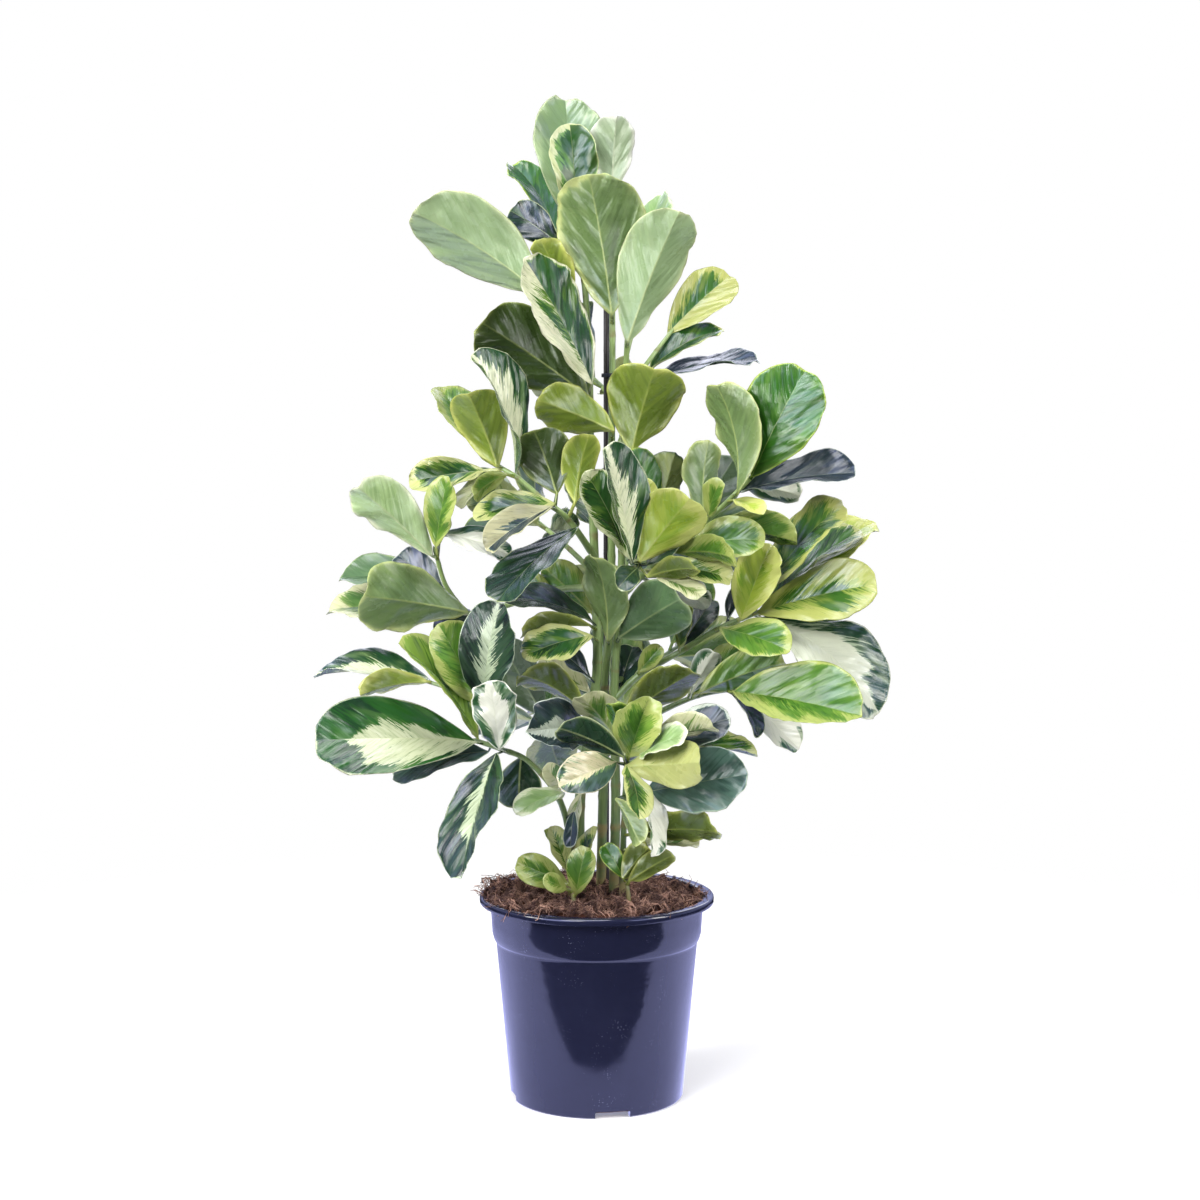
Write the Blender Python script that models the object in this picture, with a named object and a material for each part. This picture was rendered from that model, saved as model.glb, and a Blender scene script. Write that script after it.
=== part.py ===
"""Potted variegated clusia in the plastic pot it was grown in.

Metres, +Z up, the pot's axis on Z and its foot on Z = 0. The front, where most of the leaves
look, is -Y. Three main stems and four low shoots stand in plain holes in the soil beside a
thin cane. Every leaf hangs on the nearest bit of twig by its stalk.
"""

import math
import random

import bmesh
import bpy
from mathutils import Matrix, Vector
from mathutils.bvhtree import BVHTree

MM = 0.001

# The eye that the leaf and stem positions were judged from, in metres, and how much deeper
# the plant is than the listed depths. The basal shoots' depths are kept as listed.
EYE = Vector((0.0, -2.6, 0.8))
DEPTH_SPREAD = 1.4

# Pot, in millimetres: the closed outline of its wall, from the centre of the foot round
PAD_RADIUS = 30.0
FOOT_RADIUS = 98.5
RIM_RADIUS = 136.0
RIM_TOP = 235.0
WALL_OUTSIDE = [
    (0.0, 0.0),
    (PAD_RADIUS, 0.0),
    (33.0, 3.0),
    (88.0, 3.0),
    (91.0, 0.0),
    (FOOT_RADIUS, 0.0),
    (100.2, 1.6),
    (117.0, 181.2),
    (119.6, 184.7),
    (121.4, 191.6),
    (123.8, 227.5),
    (125.2, 229.6),
    (132.6, 230.8),
    (133.9, 229.8),
    (134.0, 226.6),
    (135.2, 226.6),
]
WALL_INSIDE = [
    (RIM_RADIUS, 228.0),
    (RIM_RADIUS, 232.2),
    (134.6, 234.5),
    (132.0, RIM_TOP),
    (125.5, RIM_TOP),
    (122.6, 233.6),
    (121.8, 230.5),
    (119.6, 192.2),
    (117.4, 185.6),
    (115.0, 182.2),
    (98.6, 8.2),
    (96.4, 5.5),
    (34.0, 5.5),
    (31.0, 2.5),
    (0.0, 2.5),
]
POT_SIDES = 40
NOTCH_WIDTH = 40.0
NOTCH_HEIGHT = 6.6
NOTCH_FIRST_TURN = 10.5
NOTCH_REACH = (86.0, 106.0)
HOLE_RADIUS = 6.0
HOLE_CIRCLE = 62.0

# Soil, in millimetres: its side stands clear of the inside of the wall
SOIL_SIDE = [
    (0.0, 2.9),
    (30.7, 2.9),
    (33.7, 5.9),
    (96.0, 5.9),
    (98.0, 8.5),
    (114.4, 182.1),
    (116.8, 185.8),
    (118.9, 192.3),
    (120.9, 222.0),
]
SOIL_TOP_RINGS = [0.9, 0.74, 0.56, 0.38, 0.2]
SOIL_SIDES = 32
SOIL_EDGE_HEIGHT = 224.0
SOIL_HEAP = 9.0
SOIL_MOUND = 9.0
SOIL_MOUND_AT = (-76.0, 4.0)
SOIL_MOUND_SPREAD = 26.0
STEM_DEPTH_Z = 172.0
HOLE_GAP = 0.7

# Cane and its tie, in millimetres
CANE_AT = (11.2, 31.0)
CANE_RADIUS = 3.5
CANE_FOOT_Z = 40.0
CANE_TOP_Z = 932.0
TIE_Z = 836.0
TIE_HEIGHT = 4.5
TIE_THICK = 1.5
TIE_STEM_AT = (18.1, 11.2)
TIE_STEM_RADIUS = 4.3

# Leaf blades, in millimetres and shares of the blade's own length or width
BLADE_THICK = 1.2
CLEAR_THICK = 2.4
STALK_HALF = 1.9
STALK_THICK = 2.6
WIDEST_AT = 0.645
TIP_POWER = 0.52
NATURAL_RATIO = (0.50, 0.62)
ROWS_LONG = [0.0, 0.26, 0.54, 0.82, 1.0]
ROWS_MIDDLE = [0.0, 0.36, 0.76, 1.0]
ROWS_SHORT = [0.0, 0.55, 1.0]
SEED = 41
# Faces of a leaf that may meet its own plant: the stalk's and those of the blade's foot
STALK_FACES = 24
# Fused faces that meet flatter than this merge, in degrees, tried in turn
FLAT_ANGLES = [1.5, 0.9, 0.4]

# Stems and twigs of each plant. A row is name, radius at its start and end, and the points
# it runs through. A point is millimetres right of the pot's axis and above the floor, as the
# eye sees it in the plane of the axis, then how far behind that plane it lies.
STEMS = {
    "stem_left": [
        ("main", 7.0, 3.2, [(-19, 250, -6), (-20, 337, -6), (-10, 420, -6), (0, 490, -6),
                            (0, 560, -6), (-3, 640, -4), (-7, 740, -4), (-9, 865, -2),
                            (-15, 950, 2), (-25, 1015, 6)]),
        ("upper", 4.2, 2.6, [(-1, 625, -5), (-33, 670, -28), (-61, 692, -36),
                             (-90, 717, -34), (-114, 732, -28)]),
        ("outer", 4.2, 2.4, [(-1, 592, -5), (-50, 588, 14), (-100, 572, 14), (-142, 560, 4),
                             (-172, 590, -8), (-186, 632, -14)]),
        ("crown_side", 2.8, 2.2, [(-13, 915, 0), (-38, 922, -2), (-60, 932, -5)]),
        ("crown_back", 2.8, 2.2, [(-19, 970, 4), (-34, 984, 18), (-46, 1000, 30)]),
        ("back_high", 3.6, 2.4, [(-1, 606, -5), (-36, 640, 45), (-78, 676, 85)]),
        ("back_low", 3.6, 2.4, [(-12, 402, -6), (-42, 420, 45), (-70, 446, 90)]),
    ],
    "stem_middle": [
        ("main", 6.0, 3.0, [(5, 250, 10), (7, 337, 10), (9, 420, 12), (9, 490, 12),
                            (17, 560, 12), (17, 640, 10), (17, 740, 8), (18, 865, 8),
                            (17, 960, 8), (16, 1035, 8)]),
        ("back_high", 3.6, 2.4, [(17, 740, 8), (29, 768, 26), (18, 808, 56), (-14, 842, 84)]),
        ("back_mid", 3.8, 2.4, [(16, 560, 12), (30, 588, 26), (34, 612, 64), (32, 656, 104)]),
        ("back_low", 3.8, 2.4, [(9, 395, 12), (24, 410, 28), (32, 430, 62), (38, 458, 104)]),
    ],
    "stem_right": [
        ("main", 6.2, 3.0, [(20, 250, -10), (22, 337, -6), (21, 420, -4), (21, 490, -4),
                            (26, 560, -4), (29, 640, -4), (31, 740, -4), (33, 830, -2),
                            (35, 878, -8)]),
        ("crown_side", 3.0, 2.2, [(33, 815, -2), (61, 854, 2), (84, 884, 16)]),
        ("crown_back", 2.8, 2.2, [(34, 858, -2), (50, 925, 15), (62, 978, 28)]),
        ("upper", 4.4, 2.6, [(27, 580, -4), (66, 618, -16), (114, 658, -22), (150, 690, -27),
                             (179, 720, -30)]),
        ("centre", 3.4, 2.6, [(40, 593, -9), (46, 608, -30), (50, 624, -48)]),
        ("mid", 4.2, 2.6, [(21, 462, -4), (49, 490, -6), (96, 517, -8), (145, 546, -14),
                           (185, 562, -18)]),
        ("lower", 4.2, 2.6, [(21, 412, -4), (60, 440, -2), (114, 465, 0), (159, 474, 0)]),
        ("back_high", 3.6, 2.4, [(28, 604, -4), (68, 630, 45), (108, 662, 86)]),
        ("back_low", 3.6, 2.4, [(21, 482, -4), (58, 500, 50), (92, 522, 96)]),
    ],
    "shoot_left_low": [
        ("main", 4.6, 2.8, [(-30, 254, -28), (-31, 300, -28), (-46, 350, -32), (-80, 390, -40),
                            (-112, 404, -46), (-138, 413, -46)]),
        ("upward", 3.0, 2.2, [(-122, 408, -46), (-133, 440, -42), (-152, 466, -36),
                              (-200, 484, -20)]),
    ],
    "shoot_front": [
        ("main", 4.4, 2.8, [(30, 252, -31), (31, 300, -36), (33, 350, -44), (35, 394, -54)]),
        ("side_low", 2.8, 2.2, [(32, 326, -41), (45, 342, -48), (57, 353, -48)]),
        ("side_high", 2.8, 2.2, [(35, 380, -52), (56, 400, -50), (76, 410, -46)]),
    ],
    "shoot_basal_left": [
        ("main", 3.0, 2.2, [(-27, 232, -66), (-30, 250, -64), (-34, 268, -60)]),
    ],
    "shoot_basal_right": [
        ("main", 2.9, 2.2, [(37, 232, -70), (35, 246, -68), (33, 258, -64)]),
    ],
}

# Leaves seen from the front. A row is the foot of the blade and its tip, both as millimetres
# right and above, then the width seen and whether the upper or the lower face looks forward,
# then how far behind the plane of the axis the foot and the tip lie. Some rows end with the
# leaf's own bow, fold, twist or edge wave.
LEAVES = {
    "stem_left": [
        (-30, 1012, -36, 1150, 84, "upper", 24, 45),
        (-24, 1015, -31, 1121, 58, "upper", 0, -4),
        (-46, 996, -97, 1076, 32, "upper", 44, 66),
        (-43, 986, -98, 1023, 46, "upper", 20, 50),
        (-61, 926, -208, 1021, 93, "lower", -6, -28),
        (-34, 908, -65, 991, 41, "lower", -8, -22),
        (-6, 826, -82, 967, 58, "upper", -24, -48),
        (-10, 812, -132, 896, 93, "lower", -16, -44, {"fold": 14}),
        (-113, 729, -183, 821, 46, "upper", -18, 8),
        (-114, 731, -148, 815, 67, "lower", -34, -62),
        (-93, 724, -145, 859, 35, "upper", -25, -34, {"fold": 26}),
        (-130, 726, -215, 713, 41, "upper", -25, -20, {"wave": 0.09}),
        (-104, 722, -141, 698, 25, "lower", -42, -66),
        (-124, 722, -156, 683, 19, "upper", -20, -38),
        (-46, 700, -72, 772, 64, "lower", -32, -40),
        (-25, 690, -9, 768, 44, "lower", -26, -36),
        (-49, 688, -141, 671, 35, "upper", -38, -54),
        (-52, 684, -126, 635, 37, "upper", -46, -78, {"fold": 28}),
        (-22, 660, -115, 575, 37, "upper", -32, -84),
        (-180, 652, -101, 628, 32, "upper", -22, -38),
        (-190, 628, -276, 708, 64, "lower", -22, -56, {"fold": 30}),
        (-185, 639, -171, 719, 39, "upper", -26, -44),
        (-149, 563, -268, 581, 84, "lower", -14, -82, {"fold": 20}),
        (-180, 592, -294, 602, 30, "upper", 8, 26),
        (-176, 586, -229, 629, 41, "upper", 0, 14),
        (-164, 561, -309, 565, 50, "upper", 14, 30),
        (-160, 558, -250, 569, 46, "upper", -8, -40),
        (-138, 556, -186, 540, 34, "upper", 12, 20),
        (-6, 552, -113, 578, 30, "upper", -16, -24),
        (-9, 548, -87, 537, 22, "lower", -20, -46),
        (-6, 535, -84, 511, 44, "upper", -26, -62),
        (-6, 563, -61, 615, 52, "lower", 8, 28),
        (-50, 580, -90, 604, 30, "upper", 22, 34),
        (-14, 430, -81, 424, 70, "upper", -32, -92, {"fold": 34}),
        (-16, 450, -86, 490, 36, "lower", -22, -52),
        (-9, 470, -67, 504, 32, "upper", -8, 8),
        (-8, 486, -67, 532, 25, "upper", -14, -24),
        (-18, 352, -24, 306, 18, "upper", -14, -26),
    ],
    "stem_middle": [
        (17, 905, -9, 1063, 106, "lower", -22, -50, {"fold": 12}),
        (17, 1040, 23, 1131, 58, "lower", 6, -10, {"fold": 32}),
        (20, 772, -67, 807, 58, "lower", -16, -40),
        (13, 530, -1, 626, 52, "lower", -24, -54),
    ],
    "stem_right": [
        (35, 873, 94, 1021, 84, "lower", -16, -58, {"fold": 26}),
        (56, 940, 74, 1043, 40, "upper", 24, 42),
        (82, 884, 152, 949, 58, "upper", 20, 52),
        (61, 842, 143, 887, 34, "upper", 8, 26),
        (62, 830, 185, 854, 18, "upper", 0, 6),
        (40, 748, 67, 844, 90, "lower", -20, -48),
        (26, 534, 96, 578, 70, "lower", -24, -70),
        (26, 470, 42, 523, 39, "upper", 4, 20),
        (50, 622, 107, 694, 75, "lower", -56, -92),
        (49, 630, 49, 717, 46, "upper", -44, -50),
        (34, 628, -13, 724, 49, "upper", -56, -86),
        (40, 620, 9, 755, 44, "upper", -68, -78),
        (49, 634, 46, 751, 39, "upper", -26, -18),
        (66, 628, 90, 746, 49, "lower", -22, -26),
        (46, 613, 24, 590, 30, "upper", -62, -90),
        (58, 604, 115, 613, 28, "lower", -54, -84),
        (58, 618, 98, 650, 28, "upper", -44, -56),
        (72, 612, 156, 600, 32, "upper", -38, -68),
        (66, 604, 122, 581, 26, "upper", -46, -74),
        (66, 596, 130, 571, 30, "lower", -16, -18),
        (96, 522, 110, 569, 24, "upper", -16, -28),
        (98, 522, 135, 578, 36, "upper", 2, 10),
        (179, 720, 240, 843, 90, "upper", -36, -60, {"fold": 10}),
        (162, 700, 137, 826, 44, "lower", -40, -54, {"twist": 30}),
        (123, 671, 128, 760, 42, "lower", -12, 0),
        (130, 674, 144, 715, 24, "upper", -34, -54),
        (167, 702, 298, 723, 37, "upper", -30, -46, {"wave": 0.07}),
        (172, 708, 235, 697, 37, "lower", -14, 2),
        (158, 692, 191, 676, 20, "upper", -38, -62),
        (119, 657, 231, 644, 32, "lower", -32, -60),
        (100, 640, 194, 646, 34, "upper", -28, -44),
        (92, 632, 159, 625, 26, "lower", -38, -78),
        (167, 555, 200, 641, 56, "upper", -26, -44),
        (186, 562, 323, 595, 64, "upper", -26, -56, {"fold": 12}),
        (186, 570, 285, 688, 44, "upper", -14, -42),
        (190, 566, 303, 656, 30, "upper", 2, 10),
        (192, 560, 318, 665, 28, "upper", 16, 34),
        (182, 566, 229, 639, 28, "upper", -14, -4),
        (152, 556, 166, 592, 16, "upper", -10, -14),
        (142, 544, 223, 517, 44, "upper", -28, -76),
        (190, 556, 325, 447, 81, "upper", -14, -44, {"bow": 0.16, "wave": 0.06}),
        (159, 470, 304, 442, 47, "upper", -28, -100, {"fold": 24}),
        (107, 468, 185, 520, 46, "upper", 4, -6),
        (119, 470, 217, 505, 26, "lower", -16, -36),
        (162, 468, 233, 405, 46, "upper", 10, 18),
        (157, 468, 188, 418, 18, "upper", -10, -14),
        (32, 440, 113, 494, 44, "lower", -18, -58),
        (49, 494, 75, 523, 26, "upper", -12, -18),
        (110, 470, 136, 517, 32, "lower", -8, -18),
    ],
    "shoot_left_low": [
        (-130, 446, -113, 576, 60, "upper", -50, -74, {"fold": 10}),
        (-140, 458, -183, 548, 58, "upper", -46, -70),
        (-138, 416, -229, 527, 60, "upper", -52, -76, {"twist": 12}),
        (-196, 482, -273, 467, 30, "lower", -26, -38, {"fold": 30}),
        (-196, 486, -324, 490, 34, "upper", -8, 8),
        (-141, 412, -326, 413, 87, "upper", -56, -82, {"fold": 8}),
        (-126, 400, -236, 372, 44, "upper", -40, -46),
        (-116, 398, -157, 254, 67, "upper", -64, -128, {"twist": 38}),
        (-88, 394, -90, 334, 56, "lower", -34, -40),
        (-113, 404, -125, 483, 52, "upper", -66, -84, {"wave": 0.1}),
        (-38, 352, -93, 328, 26, "upper", -42, -72),
        (-40, 360, -61, 384, 24, "upper", -46, -64),
        (-26, 330, -30, 289, 16, "upper", -44, -62),
    ],
    "shoot_front": [
        (38, 395, 61, 465, 64, "upper", -60, -80, {"fold": 34}),
        (35, 398, 17, 455, 30, "lower", -62, -82),
        (56, 404, 136, 430, 28, "lower", -64, -98),
        (76, 408, 154, 439, 44, "upper", -48, -64),
        (49, 394, 104, 418, 24, "upper", -72, -108),
        (35, 384, 119, 388, 56, "lower", -74, -126, {"fold": 18}),
        (57, 353, 174, 374, 74, "upper", -50, -92, {"fold": 12}),
        (31, 400, -18, 465, 42, "lower", -54, -76),
        (31, 395, -43, 428, 36, "lower", -68, -102),
        (22, 388, -43, 360, 49, "upper", -70, -106),
        (34, 384, 49, 323, 30, "upper", -76, -112),
        (42, 378, 63, 279, 20, "upper", -72, -96),
        (22, 346, 50, 293, 22, "lower", -62, -86),
        (44, 305, 140, 307, 37, "lower", -52, -86),
        (40, 288, 119, 291, 20, "upper", -48, -62),
        (78, 410, 185, 395, 26, "upper", -42, -48),
    ],
    "shoot_basal_left": [
        (-35, 246, -94, 271, 35, "upper", -66, -92),
        (-34, 262, -54, 312, 25, "upper", -56, -60),
        (-36, 264, -60, 309, 14, "upper", -46, -38),
        (-24, 234, -12, 290, 33, "upper", -72, -82),
        (-36, 240, -62, 252, 22, "upper", -74, -100),
        (-22, 250, 1, 312, 18, "upper", -56, -50),
    ],
    "shoot_basal_right": [
        (30, 252, 60, 288, 37, "lower", -72, -84),
        (38, 250, 88, 280, 28, "lower", -68, -80),
        (30, 254, 8, 292, 24, "upper", -62, -60),
    ],
}

# Rosettes on the twigs that lead to the back and at the stem tops: plant, twig, how many
# opposite pairs, the length of the longest leaf and the turn of the first pair
ROSETTES = [
    ("stem_left", "back_high", 3, 108, 20),
    ("stem_left", "back_low", 3, 112, 60),
    ("stem_middle", "back_high", 3, 104, 10),
    ("stem_middle", "back_mid", 4, 112, 50),
    ("stem_middle", "back_low", 3, 110, 80),
    ("stem_right", "back_high", 3, 108, 35),
    ("stem_right", "back_low", 3, 112, 5),
]
PAIR_STEP = 19.0
PAIR_FIRST_ANGLE = 30.0
PAIR_ANGLE_STEP = 17.0

# The cast leaf that lies on the soil, in millimetres
CAST_LEAF_AT = (106.0, -34.0)
CAST_LEAF_LENGTH = 27.0
CAST_LEAF_WIDTH = 13.0
CAST_LEAF_TURN = 20.0
CAST_LEAF_THICK = 0.8
REST_GAP = 0.3


def material(name, colour, roughness):
    """A Principled material with an sRGB hex colour."""
    mat = bpy.data.materials.new(name)
    mat.use_nodes = True
    shader = mat.node_tree.nodes["Principled BSDF"]
    parts = [int(colour[i:i + 2], 16) / 255 for i in (0, 2, 4)]
    linear = [c / 12.92 if c <= 0.04045 else ((c + 0.055) / 1.055) ** 2.4 for c in parts]
    shader.inputs["Base Color"].default_value = (*linear, 1.0)
    shader.inputs["Roughness"].default_value = roughness
    shader.inputs["Metallic"].default_value = 0.0
    mat.diffuse_color = (*linear, 1.0)
    return mat


def new_object(name, verts, faces, mat=None):
    """A mesh object in the scene, with its faces turned outward."""
    mesh = bpy.data.meshes.new(name)
    mesh.from_pydata([tuple(v) for v in verts], [], faces)
    bm = bmesh.new()
    bm.from_mesh(mesh)
    bmesh.ops.recalc_face_normals(bm, faces=bm.faces)
    bm.to_mesh(mesh)
    bm.free()
    obj = bpy.data.objects.new(name, mesh)
    bpy.context.scene.collection.objects.link(obj)
    if mat:
        mesh.materials.append(mat)
    return obj


def smooth(obj, angle=38.0):
    """Smooth shading, with edges sharper than the angle left as edges."""
    bm = bmesh.new()
    bm.from_mesh(obj.data)
    for face in bm.faces:
        face.smooth = True
    for edge in bm.edges:
        edge.smooth = len(edge.link_faces) == 2 and edge.calc_face_angle() < math.radians(angle)
    bm.to_mesh(obj.data)
    bm.free()


def turned(outline, sides):
    """Vertices and faces of a closed outline turned about Z. Points on the axis are poles."""
    verts = []
    rings = []
    for radius, height in outline:
        if radius < 1e-6:
            rings.append([len(verts)])
            verts.append(Vector((0, 0, height)) * MM)
            continue
        ring = []
        for k in range(sides):
            a = 2 * math.pi * k / sides
            ring.append(len(verts))
            verts.append(Vector((radius * math.cos(a), radius * math.sin(a), height)) * MM)
        rings.append(ring)
    faces = []
    for low, high in zip(rings, rings[1:]):
        for k in range(sides):
            n = (k + 1) % sides
            if len(low) == 1 and len(high) == 1:
                continue
            if len(low) == 1:
                faces.append((low[0], high[n], high[k]))
            elif len(high) == 1:
                faces.append((low[k], low[n], high[0]))
            else:
                faces.append((low[k], low[n], high[n], high[k]))
    return verts, faces


def cut(obj, cutter):
    """Take the cutter out of the object and remove the cutter."""
    cutter.hide_render = True
    cutter.display_type = "WIRE"
    mod = obj.modifiers.new("cut", "BOOLEAN")
    mod.operation = "DIFFERENCE"
    mod.solver = "EXACT"
    mod.object = cutter
    apply_modifier(obj, mod)
    bpy.data.objects.remove(cutter, do_unlink=True)


def apply_modifier(obj, mod):
    """Put the modifier's result in the object's mesh."""
    deps = bpy.context.evaluated_depsgraph_get()
    mesh = bpy.data.meshes.new_from_object(obj.evaluated_get(deps))
    obj.modifiers.remove(mod)
    old = obj.data
    obj.data = mesh
    bpy.data.meshes.remove(old)


def upright_cylinder(name, at, radius, z_low, z_high, sides):
    """A plain upright cylinder, in millimetres."""
    rings = [[], []]
    verts = []
    for row, z in enumerate((z_low, z_high)):
        for k in range(sides):
            a = 2 * math.pi * k / sides
            x = at[0] + radius * math.cos(a)
            y = at[1] + radius * math.sin(a)
            rings[row].append(len(verts))
            verts.append(Vector((x, y, z)) * MM)
    faces = [tuple(rings[0]), tuple(rings[1])]
    for k in range(sides):
        n = (k + 1) % sides
        faces.append((rings[0][k], rings[0][n], rings[1][n], rings[1][k]))
    return new_object(name, verts, faces)


def seen(plant, x, z, depth):
    """World point of what the eye sees at x and z in the plane of the axis, lying at depth."""
    if "basal" not in plant:
        depth *= DEPTH_SPREAD
    flat = Vector((x * MM, 0.0, z * MM))
    return EYE + (flat - EYE) * (1.0 - depth * MM / EYE.y)


def soil_height(x, y):
    """Height of the soil's lumpy top at x and y, all in millimetres."""
    share = min(1.0, math.hypot(x, y) / SOIL_SIDE[-1][0])
    z = SOIL_EDGE_HEIGHT + SOIL_HEAP * (1 - share * share)
    near = (x - SOIL_MOUND_AT[0]) ** 2 + (y - SOIL_MOUND_AT[1]) ** 2
    z += SOIL_MOUND * math.exp(-near / (2 * SOIL_MOUND_SPREAD ** 2))
    z += 1.8 * math.sin(0.105 * x + 1.3) * math.cos(0.09 * y - 0.4)
    z += 1.1 * math.sin(0.19 * x - 0.6 + 0.11 * y)
    return z


def make_pot():
    """The turned wall, cut by the foot notches and the floor holes."""
    verts, faces = turned(WALL_OUTSIDE + WALL_INSIDE, POT_SIDES)
    pot = new_object("pot", verts, faces, material("pot_plastic", "1B1D28", 0.36))
    for k in range(4):
        turn = math.radians(-90 + NOTCH_FIRST_TURN + 90 * k)
        near, far = NOTCH_REACH
        half = NOTCH_WIDTH / 2
        corners = [(near, -half), (far, -half), (far, half), (near, half)]
        spin = Matrix.Rotation(turn, 3, "Z")
        box = [spin @ Vector((x, y, z)) * MM for z in (-2.0, NOTCH_HEIGHT) for x, y in corners]
        sides = [(0, 1, 2, 3), (4, 5, 6, 7), (0, 1, 5, 4), (1, 2, 6, 5), (2, 3, 7, 6), (3, 0, 4, 7)]
        cut(pot, new_object("notch_cutter", box, sides))
        turn += math.radians(45)
        at = (HOLE_CIRCLE * math.cos(turn), HOLE_CIRCLE * math.sin(turn))
        cut(pot, upright_cylinder("hole_cutter", at, HOLE_RADIUS, -2.0, 9.0, 20))
    smooth(pot)
    return pot


def make_soil():
    """The filling, with a lumpy heaped top."""
    verts, faces = turned(SOIL_SIDE, SOIL_SIDES)
    last = len(verts) - SOIL_SIDES
    for k in range(SOIL_SIDES):
        v = verts[last + k]
        v.z = soil_height(v.x / MM, v.y / MM) * MM
    ring = list(range(last, last + SOIL_SIDES))
    for share in SOIL_TOP_RINGS:
        inner = []
        for k in range(SOIL_SIDES):
            v = verts[last + k]
            x = v.x / MM * share
            y = v.y / MM * share
            inner.append(len(verts))
            verts.append(Vector((x, y, soil_height(x, y))) * MM)
        for k in range(SOIL_SIDES):
            n = (k + 1) % SOIL_SIDES
            faces.append((ring[k], ring[n], inner[n], inner[k]))
        ring = inner
    verts.append(Vector((0, 0, soil_height(0, 0))) * MM)
    for k in range(SOIL_SIDES):
        faces.append((ring[k], ring[(k + 1) % SOIL_SIDES], len(verts) - 1))
    soil = new_object("soil", verts, faces, material("peat_and_coir", "5A3B2E", 0.95))
    smooth(soil, 60.0)
    return soil


def make_tie():
    """A flat soft loop round the cane and the middle stem."""
    first = Vector((*CANE_AT, 0.0))
    second = Vector((*TIE_STEM_AT, 0.0))
    along = (second - first).normalized()
    lean = math.atan2(along.y, along.x)
    gap = 0.8
    outlines = []
    for extra in (gap, gap + TIE_THICK):
        points = []
        for centre, radius, start in (
            (second, TIE_STEM_RADIUS + extra, lean - math.pi / 2),
            (first, CANE_RADIUS + extra, lean + math.pi / 2),
        ):
            for k in range(7):
                a = start + math.pi * k / 6
                points.append(centre + radius * Vector((math.cos(a), math.sin(a), 0.0)))
        outlines.append(points)
    count = len(outlines[0])
    verts = []
    for points in outlines:
        for z in (TIE_Z - TIE_HEIGHT / 2, TIE_Z + TIE_HEIGHT / 2):
            verts += [Vector((p.x, p.y, z)) * MM for p in points]
    faces = []
    for k in range(count):
        n = (k + 1) % count
        in_low, in_high, out_low, out_high = k, count + k, 2 * count + k, 3 * count + k
        n_in_low, n_in_high, n_out_low, n_out_high = n, count + n, 2 * count + n, 3 * count + n
        faces.append((in_low, n_in_low, n_in_high, in_high))
        faces.append((out_low, n_out_low, n_out_high, out_high))
        faces.append((in_low, n_in_low, n_out_low, out_low))
        faces.append((in_high, n_in_high, n_out_high, out_high))
    tie = new_object("cane_tie", verts, faces, material("soft_tie", "17181C", 0.7))
    smooth(tie)
    return tie


def curve_through(points, steps):
    """Points of a smooth curve through the given ones, a few steps between each two."""
    ends = [2 * points[0] - points[1]] + points + [2 * points[-1] - points[-2]]
    result = []
    for i in range(1, len(ends) - 2):
        a, b, c, d = ends[i - 1:i + 3]
        for k in range(steps):
            t = k / steps
            result.append(0.5 * (2 * b + (c - a) * t + (2 * a - 5 * b + 4 * c - d) * t * t
                                 + (3 * b - a - 3 * c + d) * t ** 3))
    result.append(points[-1].copy())
    return result


def tube(path, radii, sides):
    """Vertices and faces of a closed tube along a path."""
    verts = []
    faces = []
    side = Vector((1, 0, 0))
    for i, centre in enumerate(path):
        ahead = path[min(i + 1, len(path) - 1)] - path[max(i - 1, 0)]
        ahead.normalize()
        side = (side - ahead * side.dot(ahead)).normalized()
        other = ahead.cross(side)
        for k in range(sides):
            a = 2 * math.pi * k / sides
            verts.append(centre + radii[i] * (side * math.cos(a) + other * math.sin(a)))
        if i:
            for k in range(sides):
                n = (k + 1) % sides
                low = (i - 1) * sides
                faces.append((low + k, low + n, low + sides + n, low + sides + k))
    faces.append(tuple(range(sides)))
    faces.append(tuple(range(len(verts) - sides, len(verts))))
    return verts, faces


def stem_path(plant, row, in_soil):
    """Path and radii, in metres, of one stem or twig. A main stem stands upright in the soil."""
    name, r_start, r_end, points = row
    path = curve_through([seen(plant, *point) for point in points], 2)
    last = len(path) - 1
    radii = [(r_start + (r_end - r_start) * i / last) * MM for i in range(last + 1)]
    if in_soil:
        foot = path[0]
        down = [Vector((foot.x, foot.y, z * MM)) for z in (STEM_DEPTH_Z, STEM_DEPTH_Z + 40)]
        path = down + path
        radii = [radii[0]] * 2 + radii
    return path, radii


def half_width(t, width):
    """Half the blade's width at t from its foot to its tip: a wedge foot and a blunt tip."""
    foot = min(STALK_HALF, 0.2 * width)
    foot_power = TIP_POWER * WIDEST_AT / (1 - WIDEST_AT)
    t = 0.985 * t
    share = (t / WIDEST_AT) ** foot_power * ((1 - t) / (1 - WIDEST_AT)) ** TIP_POWER
    return foot + (0.5 * width - foot) * share


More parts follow.
